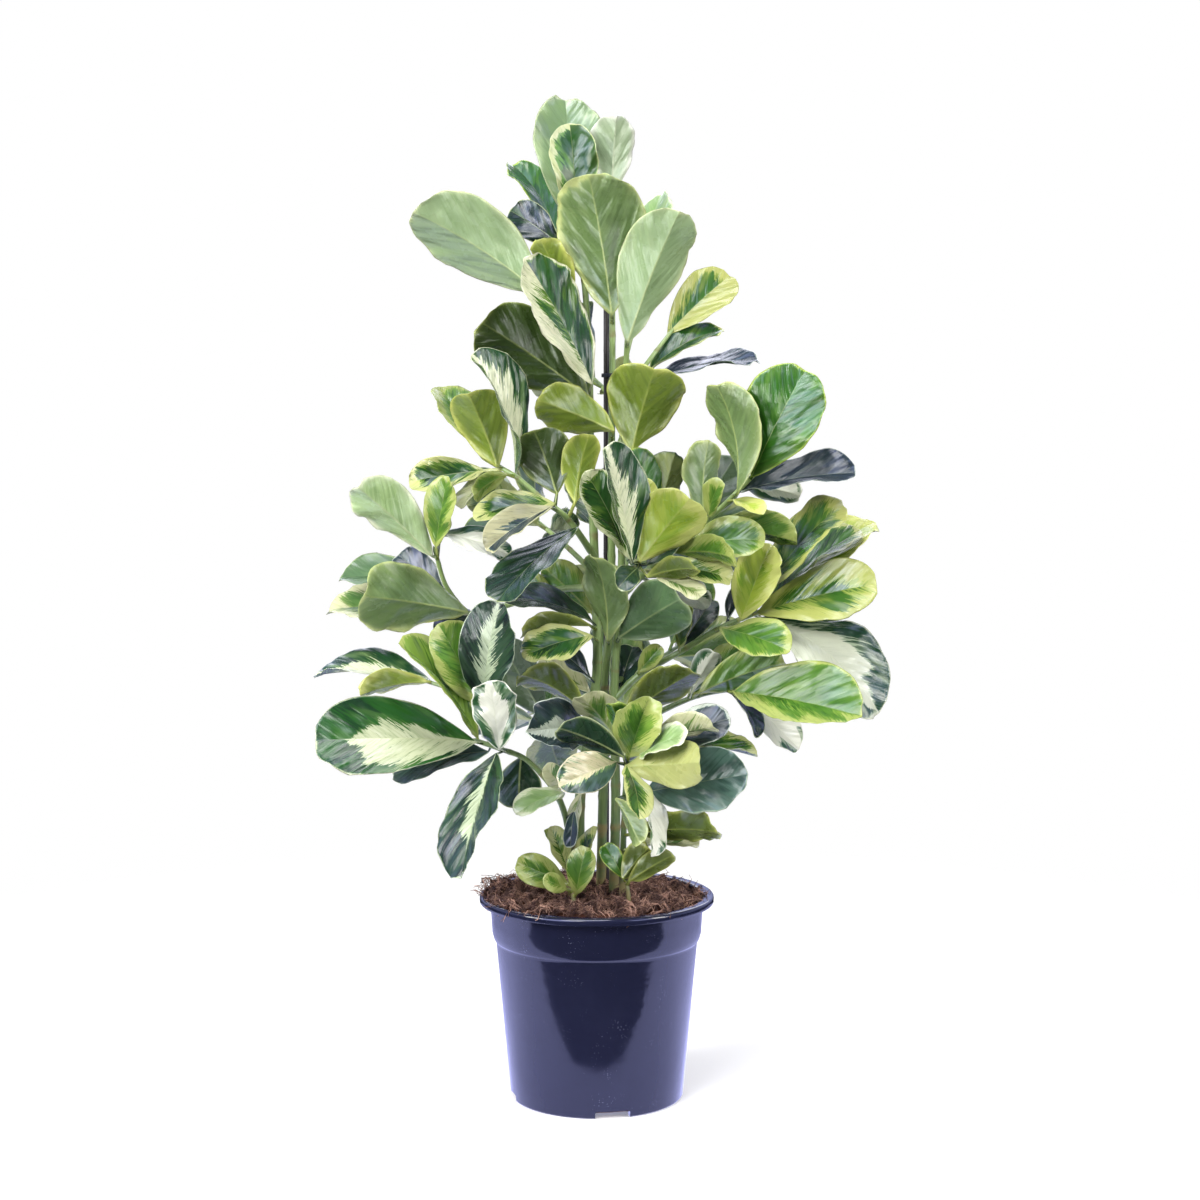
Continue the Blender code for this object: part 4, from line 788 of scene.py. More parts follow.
# A row holds the blade's foot and tip, right and up in millimetres as the camera sees them in
# the plane of the axis, the width seen, the face that shows, how far back the foot and the tip
# lie and the sort of colouring. At times it adds what is the leaf's own: bow, fold, twist, wave
# and ruffle of the blade; the colours main, light and between; edge, the light margin's width;
# heart, the light heart's; sector, how much more of both lies on one side; until, where along
# the blade the heart ends; and streaky.
LEAVES = {
    "stem_left": [
        (-30, 1012, -36, 1150, 84, "upper", 24, 45, "silver",
         {"main": "6E8760", "light": "A9B68C"}),
        (-24, 1015, -31, 1121, 58, "upper", 0, -4, "green",
         {"edge": 3.6, "sector": -0.7, "light": "C6CC9A", "main": "1D4A10"}),
        (-46, 996, -97, 1076, 32, "upper", 44, 66, "green"),
        (-43, 986, -98, 1023, 46, "upper", 20, 50, "dark", {"main": "13261A"}),
        (-61, 926, -208, 1021, 93, "lower", -6, -28, "silver"),
        (-34, 908, -65, 991, 41, "lower", -8, -22, "citron"),
        (-6, 826, -82, 967, 58, "upper", -24, -48, "edge",
         {"edge": 20, "sector": -0.88, "light": "DADABC"}),
        (-10, 812, -132, 896, 93, "lower", -16, -44, "moss", {"fold": 14}),
        (-113, 729, -183, 821, 46, "upper", -18, 8, "lime"),
        (-114, 731, -148, 815, 67, "lower", -34, -62, "citron"),
        (-93, 724, -145, 859, 35, "upper", -25, -34, "heart", {"fold": 26}),
        (-130, 726, -215, 713, 41, "upper", -25, -20, "edge", {"wave": 0.09}),
        (-104, 722, -141, 698, 25, "lower", -42, -66, "lime"),
        (-124, 722, -156, 683, 19, "upper", -20, -38, "cream"),
        (-46, 700, -72, 772, 64, "lower", -32, -40, "moss"),
        (-25, 690, -9, 768, 44, "lower", -26, -36, "citron"),
        (-49, 688, -141, 671, 35, "upper", -38, -54, "edge"),
        (-52, 684, -126, 635, 37, "upper", -46, -78, "slate",
         {"fold": 28, "edge": 12, "sector": 0.8, "light": "BDBB92"}),
        (-22, 660, -115, 575, 37, "upper", -32, -84, "dark"),
        (-180, 652, -101, 628, 32, "upper", -22, -38, "white"),
        (-190, 628, -276, 708, 64, "lower", -22, -56, "pale", {"fold": 30, "main": "A8C48A"}),
        (-185, 639, -171, 719, 39, "upper", -26, -44, "lime"),
        (-149, 563, -268, 581, 84, "lower", -14, -82, "sage", {"fold": 20}),
        (-180, 592, -294, 602, 30, "upper", 8, 26, "grey"),
        (-176, 586, -229, 629, 41, "upper", 0, 14, "slate"),
        (-164, 561, -309, 565, 50, "upper", 14, 30, "cream"),
        (-160, 558, -250, 569, 46, "upper", -8, -40, "citron"),
        (-138, 556, -186, 540, 34, "upper", 12, 20, "dark"),
        (-6, 552, -113, 578, 30, "upper", -16, -24, "dark"),
        (-9, 548, -87, 537, 22, "lower", -20, -46, "olive"),
        (-6, 535, -84, 511, 44, "upper", -26, -62, "edge"),
        (-6, 563, -61, 615, 52, "lower", 8, 28, "lime"),
        (-50, 580, -90, 604, 30, "upper", 22, 34, "lime"),
        (-14, 430, -81, 424, 70, "upper", -32, -92, "slate", {"fold": 34, "heart": 0.4}),
        (-16, 450, -86, 490, 36, "lower", -22, -52, "olive"),
        (-9, 470, -67, 504, 32, "upper", -8, 8, "cream"),
        (-8, 486, -67, 532, 25, "upper", -14, -24, "slate"),
        (-18, 352, -24, 306, 18, "upper", -14, -26, "cream"),
    ],
    "stem_middle": [
        (17, 905, -9, 1063, 106, "lower", -22, -50, "sage",
         {"fold": 12, "edge": 4, "sector": 0.7, "ruffle": 1.7}),
        (17, 1040, 23, 1131, 58, "lower", 6, -10, "mist", {"fold": 32}),
        (20, 772, -67, 807, 58, "lower", -16, -40, "citron", {"ruffle": 1.6}),
        (13, 530, -1, 626, 52, "lower", -24, -54, "sage"),
    ],
    "stem_right": [
        (35, 873, 94, 1021, 84, "lower", -16, -58, "silver", {"fold": 26}),
        (56, 940, 74, 1043, 40, "upper", 24, 42, "pale"),
        (82, 884, 152, 949, 58, "upper", 20, 52, "patch", {"sector": 0.5}),
        (61, 842, 143, 887, 34, "upper", 8, 26, "edge", {"edge": 3}),
        (62, 830, 185, 854, 18, "upper", 0, 6, "slate"),
        (40, 748, 67, 844, 90, "lower", -20, -48, "citron", {"ruffle": 1.5}),
        (26, 534, 96, 578, 70, "lower", -24, -70, "grey"),
        (26, 470, 42, 523, 39, "upper", 4, 20, "dark"),
        (50, 622, 107, 694, 75, "lower", -56, -92, "gold"),
        (49, 630, 49, 717, 46, "upper", -44, -50, "gold"),
        (34, 628, -13, 724, 49, "upper", -56, -86, "edge", {"light": "DDE0B8"}),
        (40, 620, 9, 755, 44, "upper", -68, -78, "heart"),
        (49, 634, 46, 751, 39, "upper", -26, -18, "green"),
        (66, 628, 90, 746, 49, "lower", -22, -26, "khaki"),
        (46, 613, 24, 590, 30, "upper", -62, -90, "dark"),
        (58, 604, 115, 613, 28, "lower", -54, -84, "olive"),
        (58, 618, 98, 650, 28, "upper", -44, -56, "dark"),
        (72, 612, 156, 600, 32, "upper", -38, -68, "edge"),
        (66, 604, 122, 581, 26, "upper", -46, -74, "cream"),
        (66, 596, 130, 571, 30, "lower", -16, -18, "white"),
        (96, 522, 110, 569, 24, "upper", -16, -28, "lime"),
        (98, 522, 135, 578, 36, "upper", 2, 10, "dark"),
        (179, 720, 240, 843, 90, "upper", -36, -60, "green", {"fold": 10}),
        (162, 700, 137, 826, 44, "lower", -40, -54, "sage", {"twist": 30}),
        (123, 671, 128, 760, 42, "lower", -12, 0, "sage"),
        (130, 674, 144, 715, 24, "upper", -34, -54, "lime"),
        (167, 702, 298, 723, 37, "upper", -30, -46, "slate", {"wave": 0.07}),
        (172, 708, 235, 697, 37, "lower", -14, 2, "white"),
        (158, 692, 191, 676, 20, "upper", -38, -62, "gold"),
        (119, 657, 231, 644, 32, "lower", -32, -60, "lime"),
        (100, 640, 194, 646, 34, "upper", -28, -44, "lime"),
        (92, 632, 159, 625, 26, "lower", -38, -78, "lime"),
        (167, 555, 200, 641, 56, "upper", -26, -44, "gold"),
        (186, 562, 323, 595, 64, "upper", -26, -56, "patch",
         {"fold": 12, "edge": 17, "sector": 0.1, "light": "A6AC5E",
          "main": "3A6420"}),
        (186, 570, 285, 688, 44, "upper", -14, -42, "patch", {"edge": 11, "sector": -0.2}),
        (190, 566, 303, 656, 30, "upper", 2, 10, "edge", {"edge": 7, "main": "4C7A2A"}),
        (192, 560, 318, 665, 28, "upper", 16, 34, "gold"),
        (182, 566, 229, 639, 28, "upper", -14, -4, "slate"),
        (152, 556, 166, 592, 16, "upper", -10, -14, "slate"),
        (142, 544, 223, 517, 44, "upper", -28, -76, "lime"),
        (190, 556, 325, 447, 81, "upper", -14, -44, "white",
         {"bow": 0.16, "wave": 0.06, "heart": 0.98, "sector": 0.5, "until": 1.04,
          "light": "CFD4C0", "main": "1D4228"}),
        (159, 470, 304, 442, 47, "upper", -28, -100, "lime",
         {"fold": 24, "edge": 9, "sector": 0.7}),
        (107, 468, 185, 520, 46, "upper", 4, -6, "lime"),
        (119, 470, 217, 505, 26, "lower", -16, -36, "lime"),
        (162, 468, 233, 405, 46, "upper", 10, 18, "white", {"heart": 1.4}),
        (157, 468, 188, 418, 18, "upper", -10, -14, "dark"),
        (32, 440, 113, 494, 44, "lower", -18, -58, "olive"),
        (49, 494, 75, 523, 26, "upper", -12, -18, "lime"),
        (110, 470, 136, 517, 32, "lower", -8, -18, "white"),
    ],
    "shoot_left_low": [
        (-130, 446, -113, 576, 60, "upper", -50, -74, "slate",
         {"fold": 10, "heart": 0.40, "streaky": 1.0, "light": "B9C7AC", "main": "26402F"}),
        (-140, 458, -183, 548, 58, "upper", -46, -70, "lime", {"main": "5C8A32"}),
        (-138, 416, -229, 527, 60, "upper", -52, -76, "lime", {"twist": 12, "main": "7B9C3C"}),
        (-196, 482, -273, 467, 30, "lower", -26, -38, "citron", {"fold": 30}),
        (-196, 486, -324, 490, 34, "upper", -8, 8, "heart"),
        (-141, 412, -326, 413, 87, "upper", -56, -82, "heart",
         {"fold": 8, "heart": 0.66, "sector": -0.30, "until": 0.86, "main": "1F5018",
          "light": "B8BE9E", "between": "42692F"}),
        (-126, 400, -236, 372, 44, "upper", -40, -46, "teal"),
        (-116, 398, -157, 254, 67, "upper", -64, -128, "dark",
         {"twist": 38, "heart": 0.25, "light": "B8C5A4", "until": 0.95, "streaky": 0.9}),
        (-88, 394, -90, 334, 56, "lower", -34, -40, "dark"),
        (-113, 404, -125, 483, 52, "upper", -66, -84, "white", {"wave": 0.1, "ruffle": 1.9}),
        (-38, 352, -93, 328, 26, "upper", -42, -72, "pale"),
        (-40, 360, -61, 384, 24, "upper", -46, -64, "cream"),
        (-26, 330, -30, 289, 16, "upper", -44, -62, "slate"),
    ],
    "shoot_front": [
        (38, 395, 61, 465, 64, "upper", -60, -80, "lime", {"fold": 34, "edge": 12}),
        (35, 398, 17, 455, 30, "lower", -62, -82, "green"),
        (56, 404, 136, 430, 28, "lower", -64, -98, "cream"),
        (76, 408, 154, 439, 44, "upper", -48, -64, "slate", {"edge": 2}),
        (49, 394, 104, 418, 24, "upper", -72, -108, "pale"),
        (35, 384, 119, 388, 56, "lower", -74, -126, "cream",
         {"fold": 18, "edge": 34, "light": "AEB270", "streaky": 0.5}),
        (57, 353, 174, 374, 74, "upper", -50, -92, "teal", {"fold": 12, "main": "4A665C"}),
        (31, 400, -18, 465, 42, "lower", -54, -76, "cream"),
        (31, 395, -43, 428, 36, "lower", -68, -102, "dark"),
        (22, 388, -43, 360, 49, "upper", -70, -106, "heart",
         {"heart": 0.7, "sector": 0.6, "light": "CFC6A4", "main": "3B5248"}),
        (34, 384, 49, 323, 30, "upper", -76, -112, "edge"),
        (42, 378, 63, 279, 20, "upper", -72, -96, "white"),
        (22, 346, 50, 293, 22, "lower", -62, -86, "sage"),
        (44, 305, 140, 307, 37, "lower", -52, -86, "olive"),
        (40, 288, 119, 291, 20, "upper", -48, -62, "cream"),
        (78, 410, 185, 395, 26, "upper", -42, -48, "edge"),
    ],
    "shoot_basal_left": [
        (-35, 246, -94, 271, 35, "upper", -66, -92, "lime"),
        (-34, 262, -54, 312, 25, "upper", -56, -60, "edge"),
        (-36, 264, -60, 309, 14, "upper", -46, -38, "lime"),
        (-24, 234, -12, 290, 33, "upper", -72, -82, "lime"),
        (-36, 240, -62, 252, 22, "upper", -74, -100, "lime"),
        (-22, 250, 1, 312, 18, "upper", -56, -50, "edge"),
    ],
    "shoot_basal_right": [
        (30, 252, 60, 288, 37, "lower", -72, -84, "olive"),
        (38, 250, 88, 280, 28, "lower", -68, -80, "olive"),
        (30, 254, 8, 292, 24, "upper", -62, -60, "green"),
    ],
}

# Rosettes at the ends of the twigs that lead back: plant, twig, opposite pairs, the length of
# the longest leaf and the turn of the first pair.
ROSETTES = [
    ("stem_left", "back_high", 3, 108, 20),
    ("stem_left", "back_low", 3, 112, 60),
    ("stem_middle", "back_high", 3, 104, 10),
    ("stem_middle", "back_mid", 4, 112, 50),
    ("stem_middle", "back_low", 3, 110, 80),
    ("stem_right", "back_high", 3, 108, 35),
    ("stem_right", "back_low", 3, 112, 5),
]
# how far along the blade it is widest, and how blunt its tip is
WIDEST = 0.645
BLUNTNESS = 0.52
# the plain solid's stalk and blade, in millimetres, and how many of its first faces make up
# the stalk and the blade's foot
STALK_HALF_WIDTH = 1.9
STALK_DEPTH = 2.6
BLADE_DEPTH = 2.4
STALK_FACES = 24


def half_width(t, width):
    """Half the blade's width at t from its foot to its tip: a wedge foot and a blunt tip."""
    foot = min(STALK_HALF_WIDTH, 0.2 * width)
    t = 0.985 * t
    share = ((t / WIDEST) ** (BLUNTNESS * WIDEST / (1 - WIDEST))
             * ((1 - t) / (1 - WIDEST)) ** BLUNTNESS)
    return foot + (0.5 * width - foot) * share


def blade_point(leaf, u, t):
    """Point of the blade's middle surface at u across, -1 to 1, and t along, in metres."""
    along = leaf["tip"] - leaf["foot"]
    length = along.length
    axis = along / length
    turn = Matrix.Rotation(math.radians(leaf["twist"]) * (t - 0.3), 3, axis)
    up = turn @ leaf["normal"]
    side = axis.cross(up)
    half = half_width(t, leaf["width"]) * MM
    arch = 4 * t * (1 - t)
    point = leaf["foot"] + along * t + leaf["normal"] * (leaf["bow"] * length * arch)
    if u == 0 and t == 1:
        point += axis * (0.02 * length)
    fold = math.radians(leaf["fold"])
    point += side * (u * half * math.cos(fold))
    ripple = math.sin(2 * math.pi * leaf["waves"] * t + leaf["phase"] + (1.9 if u > 0 else 0.0))
    lift = abs(u) * half * math.sin(fold) + leaf["cup"] * half * u * u
    lift += leaf["wave"] * leaf["width"] * MM * abs(u) ** 1.5 * ripple * math.sqrt(max(arch, 0))
    return point + up * lift


def blade_normal(leaf, u, t):
    """Direction of the blade's upper face there."""
    e = 0.02
    t = min(max(t, e), 1 - e)
    across = blade_point(leaf, u + e, t) - blade_point(leaf, u - e, t)
    ahead = blade_point(leaf, u, t + e) - blade_point(leaf, u, t - e)
    return across.cross(ahead).normalized()


def stalk_frame(leaf):
    """The stalk from its root to the blade's foot, its sideways and its upward direction."""
    ahead = leaf["foot"] - leaf["root"]
    side = ahead.cross(leaf["normal"])
    if side.length < 0.3 * ahead.length:
        side = (leaf["tip"] - leaf["foot"]).cross(leaf["normal"])
    side.normalize()
    return ahead, side, side.cross(ahead).normalized()


def rough_leaf(leaf):
    """Vertices and triangles of the leaf as a plain solid, for the clearance tests."""
    length = (leaf["tip"] - leaf["foot"]).length
    rows = [0.0, 0.55, 1.0]
    if length > 52 * MM:
        rows = [0.0, 0.36, 0.76, 1.0]
    if length > 85 * MM:
        rows = [0.0, 0.26, 0.54, 0.82, 1.0]
    ahead, side, up = stalk_frame(leaf)
    verts = [leaf["root"] + side * (u * STALK_HALF_WIDTH * MM) + up * (lift * STALK_DEPTH * MM)
             for lift in (0.5, -0.5) for u in (-1, 1)]
    for t in rows:
        here = STALK_DEPTH + (BLADE_DEPTH - STALK_DEPTH) * min(1.0, t / 0.3)
        for face in (0.5, -0.5):
            for u in (-1, 0, 1):
                rib = 1.5 - 0.4 * t if u == 0 and face < 0 and t < 1 else 1.0
                out = blade_normal(leaf, u, t) * (face * rib * here * MM)
                verts.append(blade_point(leaf, u, t) + out)
    faces = [(0, 2, 3), (0, 3, 1), (0, 5, 4), (0, 1, 5), (1, 6, 5), (2, 7, 8), (2, 8, 3),
             (3, 8, 9), (0, 4, 7), (0, 7, 2), (1, 3, 9), (1, 9, 6)]
    for a in range(4, 4 + 6 * (len(rows) - 1), 6):
        b = a + 6
        faces += [(a, a + 1, b), (a + 1, b + 1, b), (a + 1, a + 2, b + 2), (a + 1, b + 2, b + 1),
                  (a + 3, b + 3, a + 4), (a + 4, b + 3, b + 4), (a + 4, b + 5, a + 5),
                  (a + 4, b + 4, b + 5), (a, b, b + 3), (a, b + 3, a + 3),
                  (a + 2, a + 5, b + 5), (a + 2, b + 5, b + 2)]
    faces += [(b, b + 4, b + 3), (b, b + 1, b + 4), (b + 1, b + 5, b + 4), (b + 1, b + 2, b + 5)]
    return verts, faces


def rough_tube(path, radii, sides):
    """Vertices and faces of a stem as a plain closed tube, for the clearance tests."""
    verts, faces = [], []
    side = Vector((1, 0, 0))
    for i, centre in enumerate(path):
        ahead = path[min(i + 1, len(path) - 1)] - path[max(i - 1, 0)]
        ahead.normalize()
        side = (side - ahead * side.dot(ahead)).normalized()
        other = ahead.cross(side)
        for k in range(sides):
            a = 2 * math.pi * k / sides
            verts.append(centre + radii[i] * (side * math.cos(a) + other * math.sin(a)))
        if i:
            low = (i - 1) * sides
            for k in range(sides):
                n = (k + 1) % sides
                faces.append((low + k, low + n, low + sides + n, low + sides + k))
    faces += [tuple(range(sides)), tuple(range(len(verts) - sides, len(verts)))]
    return verts, faces


def nearest_root(point, paths):
    """A point on the plant's stems a little below the nearest one to the given point."""
    best = None
    for path in paths:
        for start, end in zip(path, path[1:]):
            step = end - start
            t = max(0.0, min(1.0, (point - start).dot(step) / step.length_squared))
            near = start + step * t
            gap = (point - near).length
            if best is None or gap < best[0]:
                best = (gap, near, step.normalized(), path[0])
    gap, near, ahead, start = best
    return near - ahead * min(0.45 * gap, 9 * MM, 0.9 * (near - start).length)


def front_leaf(plant, row, shift, shape, ratio, paths):
    """A listed leaf, moved in depth, rolled and scaled by the shift: foot, tip, roll, scale."""
    x0, z0, x1, z1, wide, face, d0, d1 = row[:8]
    foot = seen(plant, x0, z0, d0 + shift[0])
    tip = seen(plant, x1, z1, d1 + shift[1])
    tip = foot + (tip - foot) * shift[3]
    axis = (tip - foot).normalized()
    look = EYE - (foot + tip) / 2
    look = (look - axis * look.dot(axis)).normalized()
    across = axis.cross(look)
    length = (tip - foot).length / MM
    width = max(wide * 1.02, ratio * length) * shift[3]
    lean = math.acos(min(1.0, wide * shift[3] / width))
    sign = 1.0 if face == "upper" else -1.0
    options = [look * sign * math.cos(lean) + across * s * math.sin(lean) for s in (1, -1)]
    normal = max(options, key=lambda n: n.z)
    normal = Matrix.Rotation(math.radians(shift[2]), 3, axis) @ normal
    return {**shape, "foot": foot, "tip": tip, "width": width, "normal": normal,
            "root": nearest_root(foot, paths)}


def rosette_leaf(path, index, turn, longest, shift, shape, ratio):
    """One leaf of an opposite pair at a twig's end. Inner pairs are shorter and steeper."""
    pair = index // 2
    ahead = (path[-1] - path[-2]).normalized()
    level = Vector((0, 0, 1)).cross(ahead).normalized()
    spin = Matrix.Rotation(math.radians(turn + 90 * pair + 180 * (index % 2) + shift[1]), 3, ahead)
    out = spin @ level
    angle = math.radians(30.0 + 17.0 * pair + shift[2])
    axis = ahead * math.cos(angle) + out * math.sin(angle)
    length = longest * (0.72 + 0.28 * min(pair, 2) / 2) * shift[3] * shape["size"] * MM
    root = path[-1] - ahead * (19.0 * pair * MM)
    foot = root + axis * (12 * MM)
    return {**shape, "foot": foot, "tip": foot + axis * length, "width": ratio * length / MM,
            "normal": (ahead - axis * ahead.dot(axis)).normalized(), "root": root}


def natural_shape(rng, extras):
    """The blade's own bow, fold, cup, wave and twist, drawn within what such leaves show."""
    shape = {"bow": rng.uniform(0.03, 0.10), "fold": rng.uniform(6, 20),
             "cup": rng.uniform(-0.05, 0.12), "wave": rng.uniform(0.012, 0.04),
             "waves": rng.uniform(1.1, 2.1), "phase": rng.uniform(0, 6.28),
             "twist": rng.uniform(-14, 14)}
    return {**shape, **extras}


def corners_of(verts):
    """The lowest and the highest corner of the box round the vertices."""
    return [[pick(v[i] for v in verts) for i in range(3)] for pick in (min, max)]


placed = []


def remember(plant, verts, faces, skip=0):
    """Keep a solid for the clearance tests. A leaf's first faces are its stalk's."""
    whole = BVHTree.FromPolygons(verts, faces)
    blade = BVHTree.FromPolygons(verts, faces[skip:]) if skip else whole
    placed.append((plant, *corners_of(verts), whole, blade))


def bent_clear(plant, make, ways):
    """The first of the leaf's ways that clears everything, or the one that crosses least."""
    best = None
    for way in ways:
        leaf = make(way)
        verts, faces = rough_leaf(leaf)
        low, high = corners_of(verts)
        whole = BVHTree.FromPolygons(verts, faces)
        blade = BVHTree.FromPolygons(verts, faces[STALK_FACES:])
        others = own = 0
        for name, other_low, other_high, other_whole, other_blade in placed:
            if any(low[i] > other_high[i] or high[i] < other_low[i] for i in range(3)):
                continue
            if name == plant:
                own += len(blade.overlap(other_blade))
            else:
                others += len(whole.overlap(other_whole))
        if others == 0 and (best is None or own < best[0]):
            best = (own, leaf, verts, faces)
            if own == 0:
                break
    if best is None:
        return None
    remember(plant, best[2], best[3], STALK_FACES)
    return best[1]


for node in ("pot", "soil", "support_cane", "cane_tie"):
    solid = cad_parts[node].data
    remember(node, [v.co.copy() for v in solid.vertices],
             [tuple(p.vertices) for p in solid.polygons])
for plant, rows in STEMS.items():
    for name, r_start, r_end, points in rows:
        path = stem_paths[plant][name]
        bare = path[2:] if name == "main" else path
        last = len(bare) - 1
        radii = [(r_start + (r_end - r_start) * i / last) * MM for i in range(last + 1)]
        remember(plant, *rough_tube(bare, radii, 8 if name == "main" else 6))

# the ways to place a listed leaf, the smallest change first: how far its foot and its tip go
# back in millimetres, its roll and its scale. A rosette's leaf has a turn round the twig and
# an angle to it instead
listed_ways = [(foot, tip, roll, scale) for scale in (1.0, 0.88) for foot in (0, -7, 7)
               for tip in (0, -12, 12, -24, 24, -38, 38, -54, 54) for roll in (0, 14, -14, 28, -28)]
listed_ways.sort(key=lambda way: abs(way[0]) * 1.5 + abs(way[1]) + abs(way[2]) * 0.8
                 + (1 - way[3]) * 400)
rosette_ways = [(0, turn, angle, scale) for scale in (1.0, 0.86, 0.72)
                for turn in (0, 12, -12, 24, -24, 36, -36) for angle in (0, 10, -10, 20, 30)]
rosette_ways.sort(key=lambda way: abs(way[1]) + abs(way[2]) + (1 - way[3]) * 120)
MOST_TRIES = 150

rng = random.Random(41)
leaves = {plant: [] for plant in STEMS}
for plant, rows in LEAVES.items():
    for row in rows:
        shape = natural_shape(rng, row[9] if len(row) > 9 else {})
        ratio = rng.uniform(0.50, 0.62)
        own = list(stem_paths[plant].values())
        leaf = bent_clear(plant, lambda way: front_leaf(plant, row, way, shape, ratio, own),
                          listed_ways[:MOST_TRIES])
        if leaf:
            leaves[plant].append({**leaf, "tone": row[8], "shows": row[5]})
BACK_TONES = ["heart", "edge", "dark", "lime", "edge", "green", "cream", "heart", "slate"]
for plant, twig, pairs, longest, turn in ROSETTES:
    for index in range(2 * pairs):
        shape = natural_shape(rng, {})
        shape["size"] = rng.uniform(0.86, 1.06)
        ratio = rng.uniform(0.52, 0.66)
        path = stem_paths[plant][twig]
        leaf = bent_clear(plant, lambda way: rosette_leaf(path, index, turn, longest, way, shape,
                                                          ratio), rosette_ways)
        if leaf:
            tone = BACK_TONES[(index * 4 + len(plant) + turn) % len(BACK_TONES)]
            leaves[plant].append({**leaf, "tone": tone, "shows": "upper"})

# sorts of colouring: the main green, the deeper streaks in it, the light tone, the tone between,
# the width of the light margin in millimetres, the share of the half width that the light
# heart takes, how streaky the whole is and how far the light tone glows in from the edge
COLOURS = ("main", "deep", "light", "between")
SORT = COLOURS + ("edge", "heart", "streaky", "glow")
TONES = {
    "sage": ("6A8450", "46603A", "C0CA84", "96AC74", 1.6, 0.0, 0.20, 0.36),
    "silver": ("94AE80", "6F8C5A", "C8D2A0", "AEC294", 1.3, 0.0, 0.20, 0.25),
    "mist": ("B2C7A2", "90AE80", "E4E8DA", "C8D6BC", 2.0, 0.0, 0.45, 0.45),
    "teal": ("35524A", "223A36", "A6B59E", "587868", 0.8, 0.0, 0.35, 0.06),
    "grey": ("52704A", "3C5A3A", "A6B68A", "728C60", 1.0, 0.0, 0.15, 0.10),
    "pale": ("8FB070", "6E9050", "DDE3C4", "B6CA98", 3.0, 0.0, 0.50, 0.25),
    "green": ("31661A", "1D480F", "AABE56", "64923A", 1.4, 0.0, 0.60, 0.12),
    "dark": ("1B3823", "0E2114", "B4BE8C", "38592F", 0.7, 0.0, 0.50, 0.0),
    "slate": ("243439", "142025", "C0C9BC", "42584E", 0.6, 0.0, 0.40, 0.0),
    "edge": ("24501D", "123012", "C2C684", "6A8A38", 8.0, 0.0, 0.80, 0.0),
    "heart": ("1E4626", "102C16", "DEE2C4", "6F8E58", 0.8, 0.52, 0.85, 0.0),
    "white": ("28542E", "163820", "E6E8DA", "A8B89C", 1.6, 0.85, 0.18, 0.0),
    "lime": ("4F7A2A", "2F5C1E", "A9B466", "7A983F", 6.0, 0.0, 0.80, 0.18),
    "gold": ("A6BC42", "6E9C2C", "CCD278", "B8C65A", 9.0, 0.0, 0.50, 0.30),
    "patch": ("3E6C26", "244E1C", "B8BC6C", "92A44C", 17.0, 0.0, 0.55, 0.10),
    "cream": ("5A8238", "386024", "CDCEA6", "93A462", 15.0, 0.0, 0.80, 0.2),
    "citron": ("748A30", "516A22", "BEC468", "94A446", 3.0, 0.0, 0.40, 0.45),
    "olive": ("4F6229", "37481C", "AAB25A", "6F823C", 1.8, 0.0, 0.25, 0.35),
    "moss": ("384C22", "283818", "98A25C", "52692F", 1.2, 0.0, 0.15, 0.15),
    "khaki": ("96A062", "7C8C52", "2A472A", "6A7A42", 1.5, 0.0, 0.50, 0.0),
}
# the finished leaf's rows of vertices: down the stalk, then from the blade's foot to its tip
STALK_ROWS = [-1.0, -0.66, -0.33]
ROWS = [0.0, 0.025, 0.055, 0.09, 0.13, 0.175, 0.22, 0.265, 0.31, 0.355, 0.40, 0.445, 0.49, 0.535,
        0.58, 0.625, 0.67, 0.715, 0.76, 0.805, 0.85, 0.89, 0.925, 0.955, 0.98, 0.993, 1.0]
ACROSS = 17


def crumple(leaf, u, t, half, length, hand):
    """How far a grown blade buckles out of its even surface and sideways, in millimetres."""
    off = abs(u) * half
    vein = t * length / MM - 0.75 * off
    hand += 5.0 if u > 0 else 0.0
    size = leaf["ruffle"] * min(1.0, leaf["width"] / 50.0) * min(1.0, t / 0.12)
    out = 1.5 * min(1.0, off / 8.0) * noise.noise(Vector((vein / 11.0, off / 24.0, hand)))
    out += 6.0 * abs(u) * noise.noise(Vector((vein / 33.0, off / 60.0, hand + 20.0)))
    curl = (max(0.0, abs(u) - 0.5) / 0.5) ** 1.5
    out += 4.2 * curl * noise.noise(Vector((vein / 15.0, 0.0, hand + 40.0)))
    sideways = 1.8 * u ** 3 * noise.noise(Vector((vein / 27.0, 0.0, hand + 60.0)))
    return size * out, size * sideways


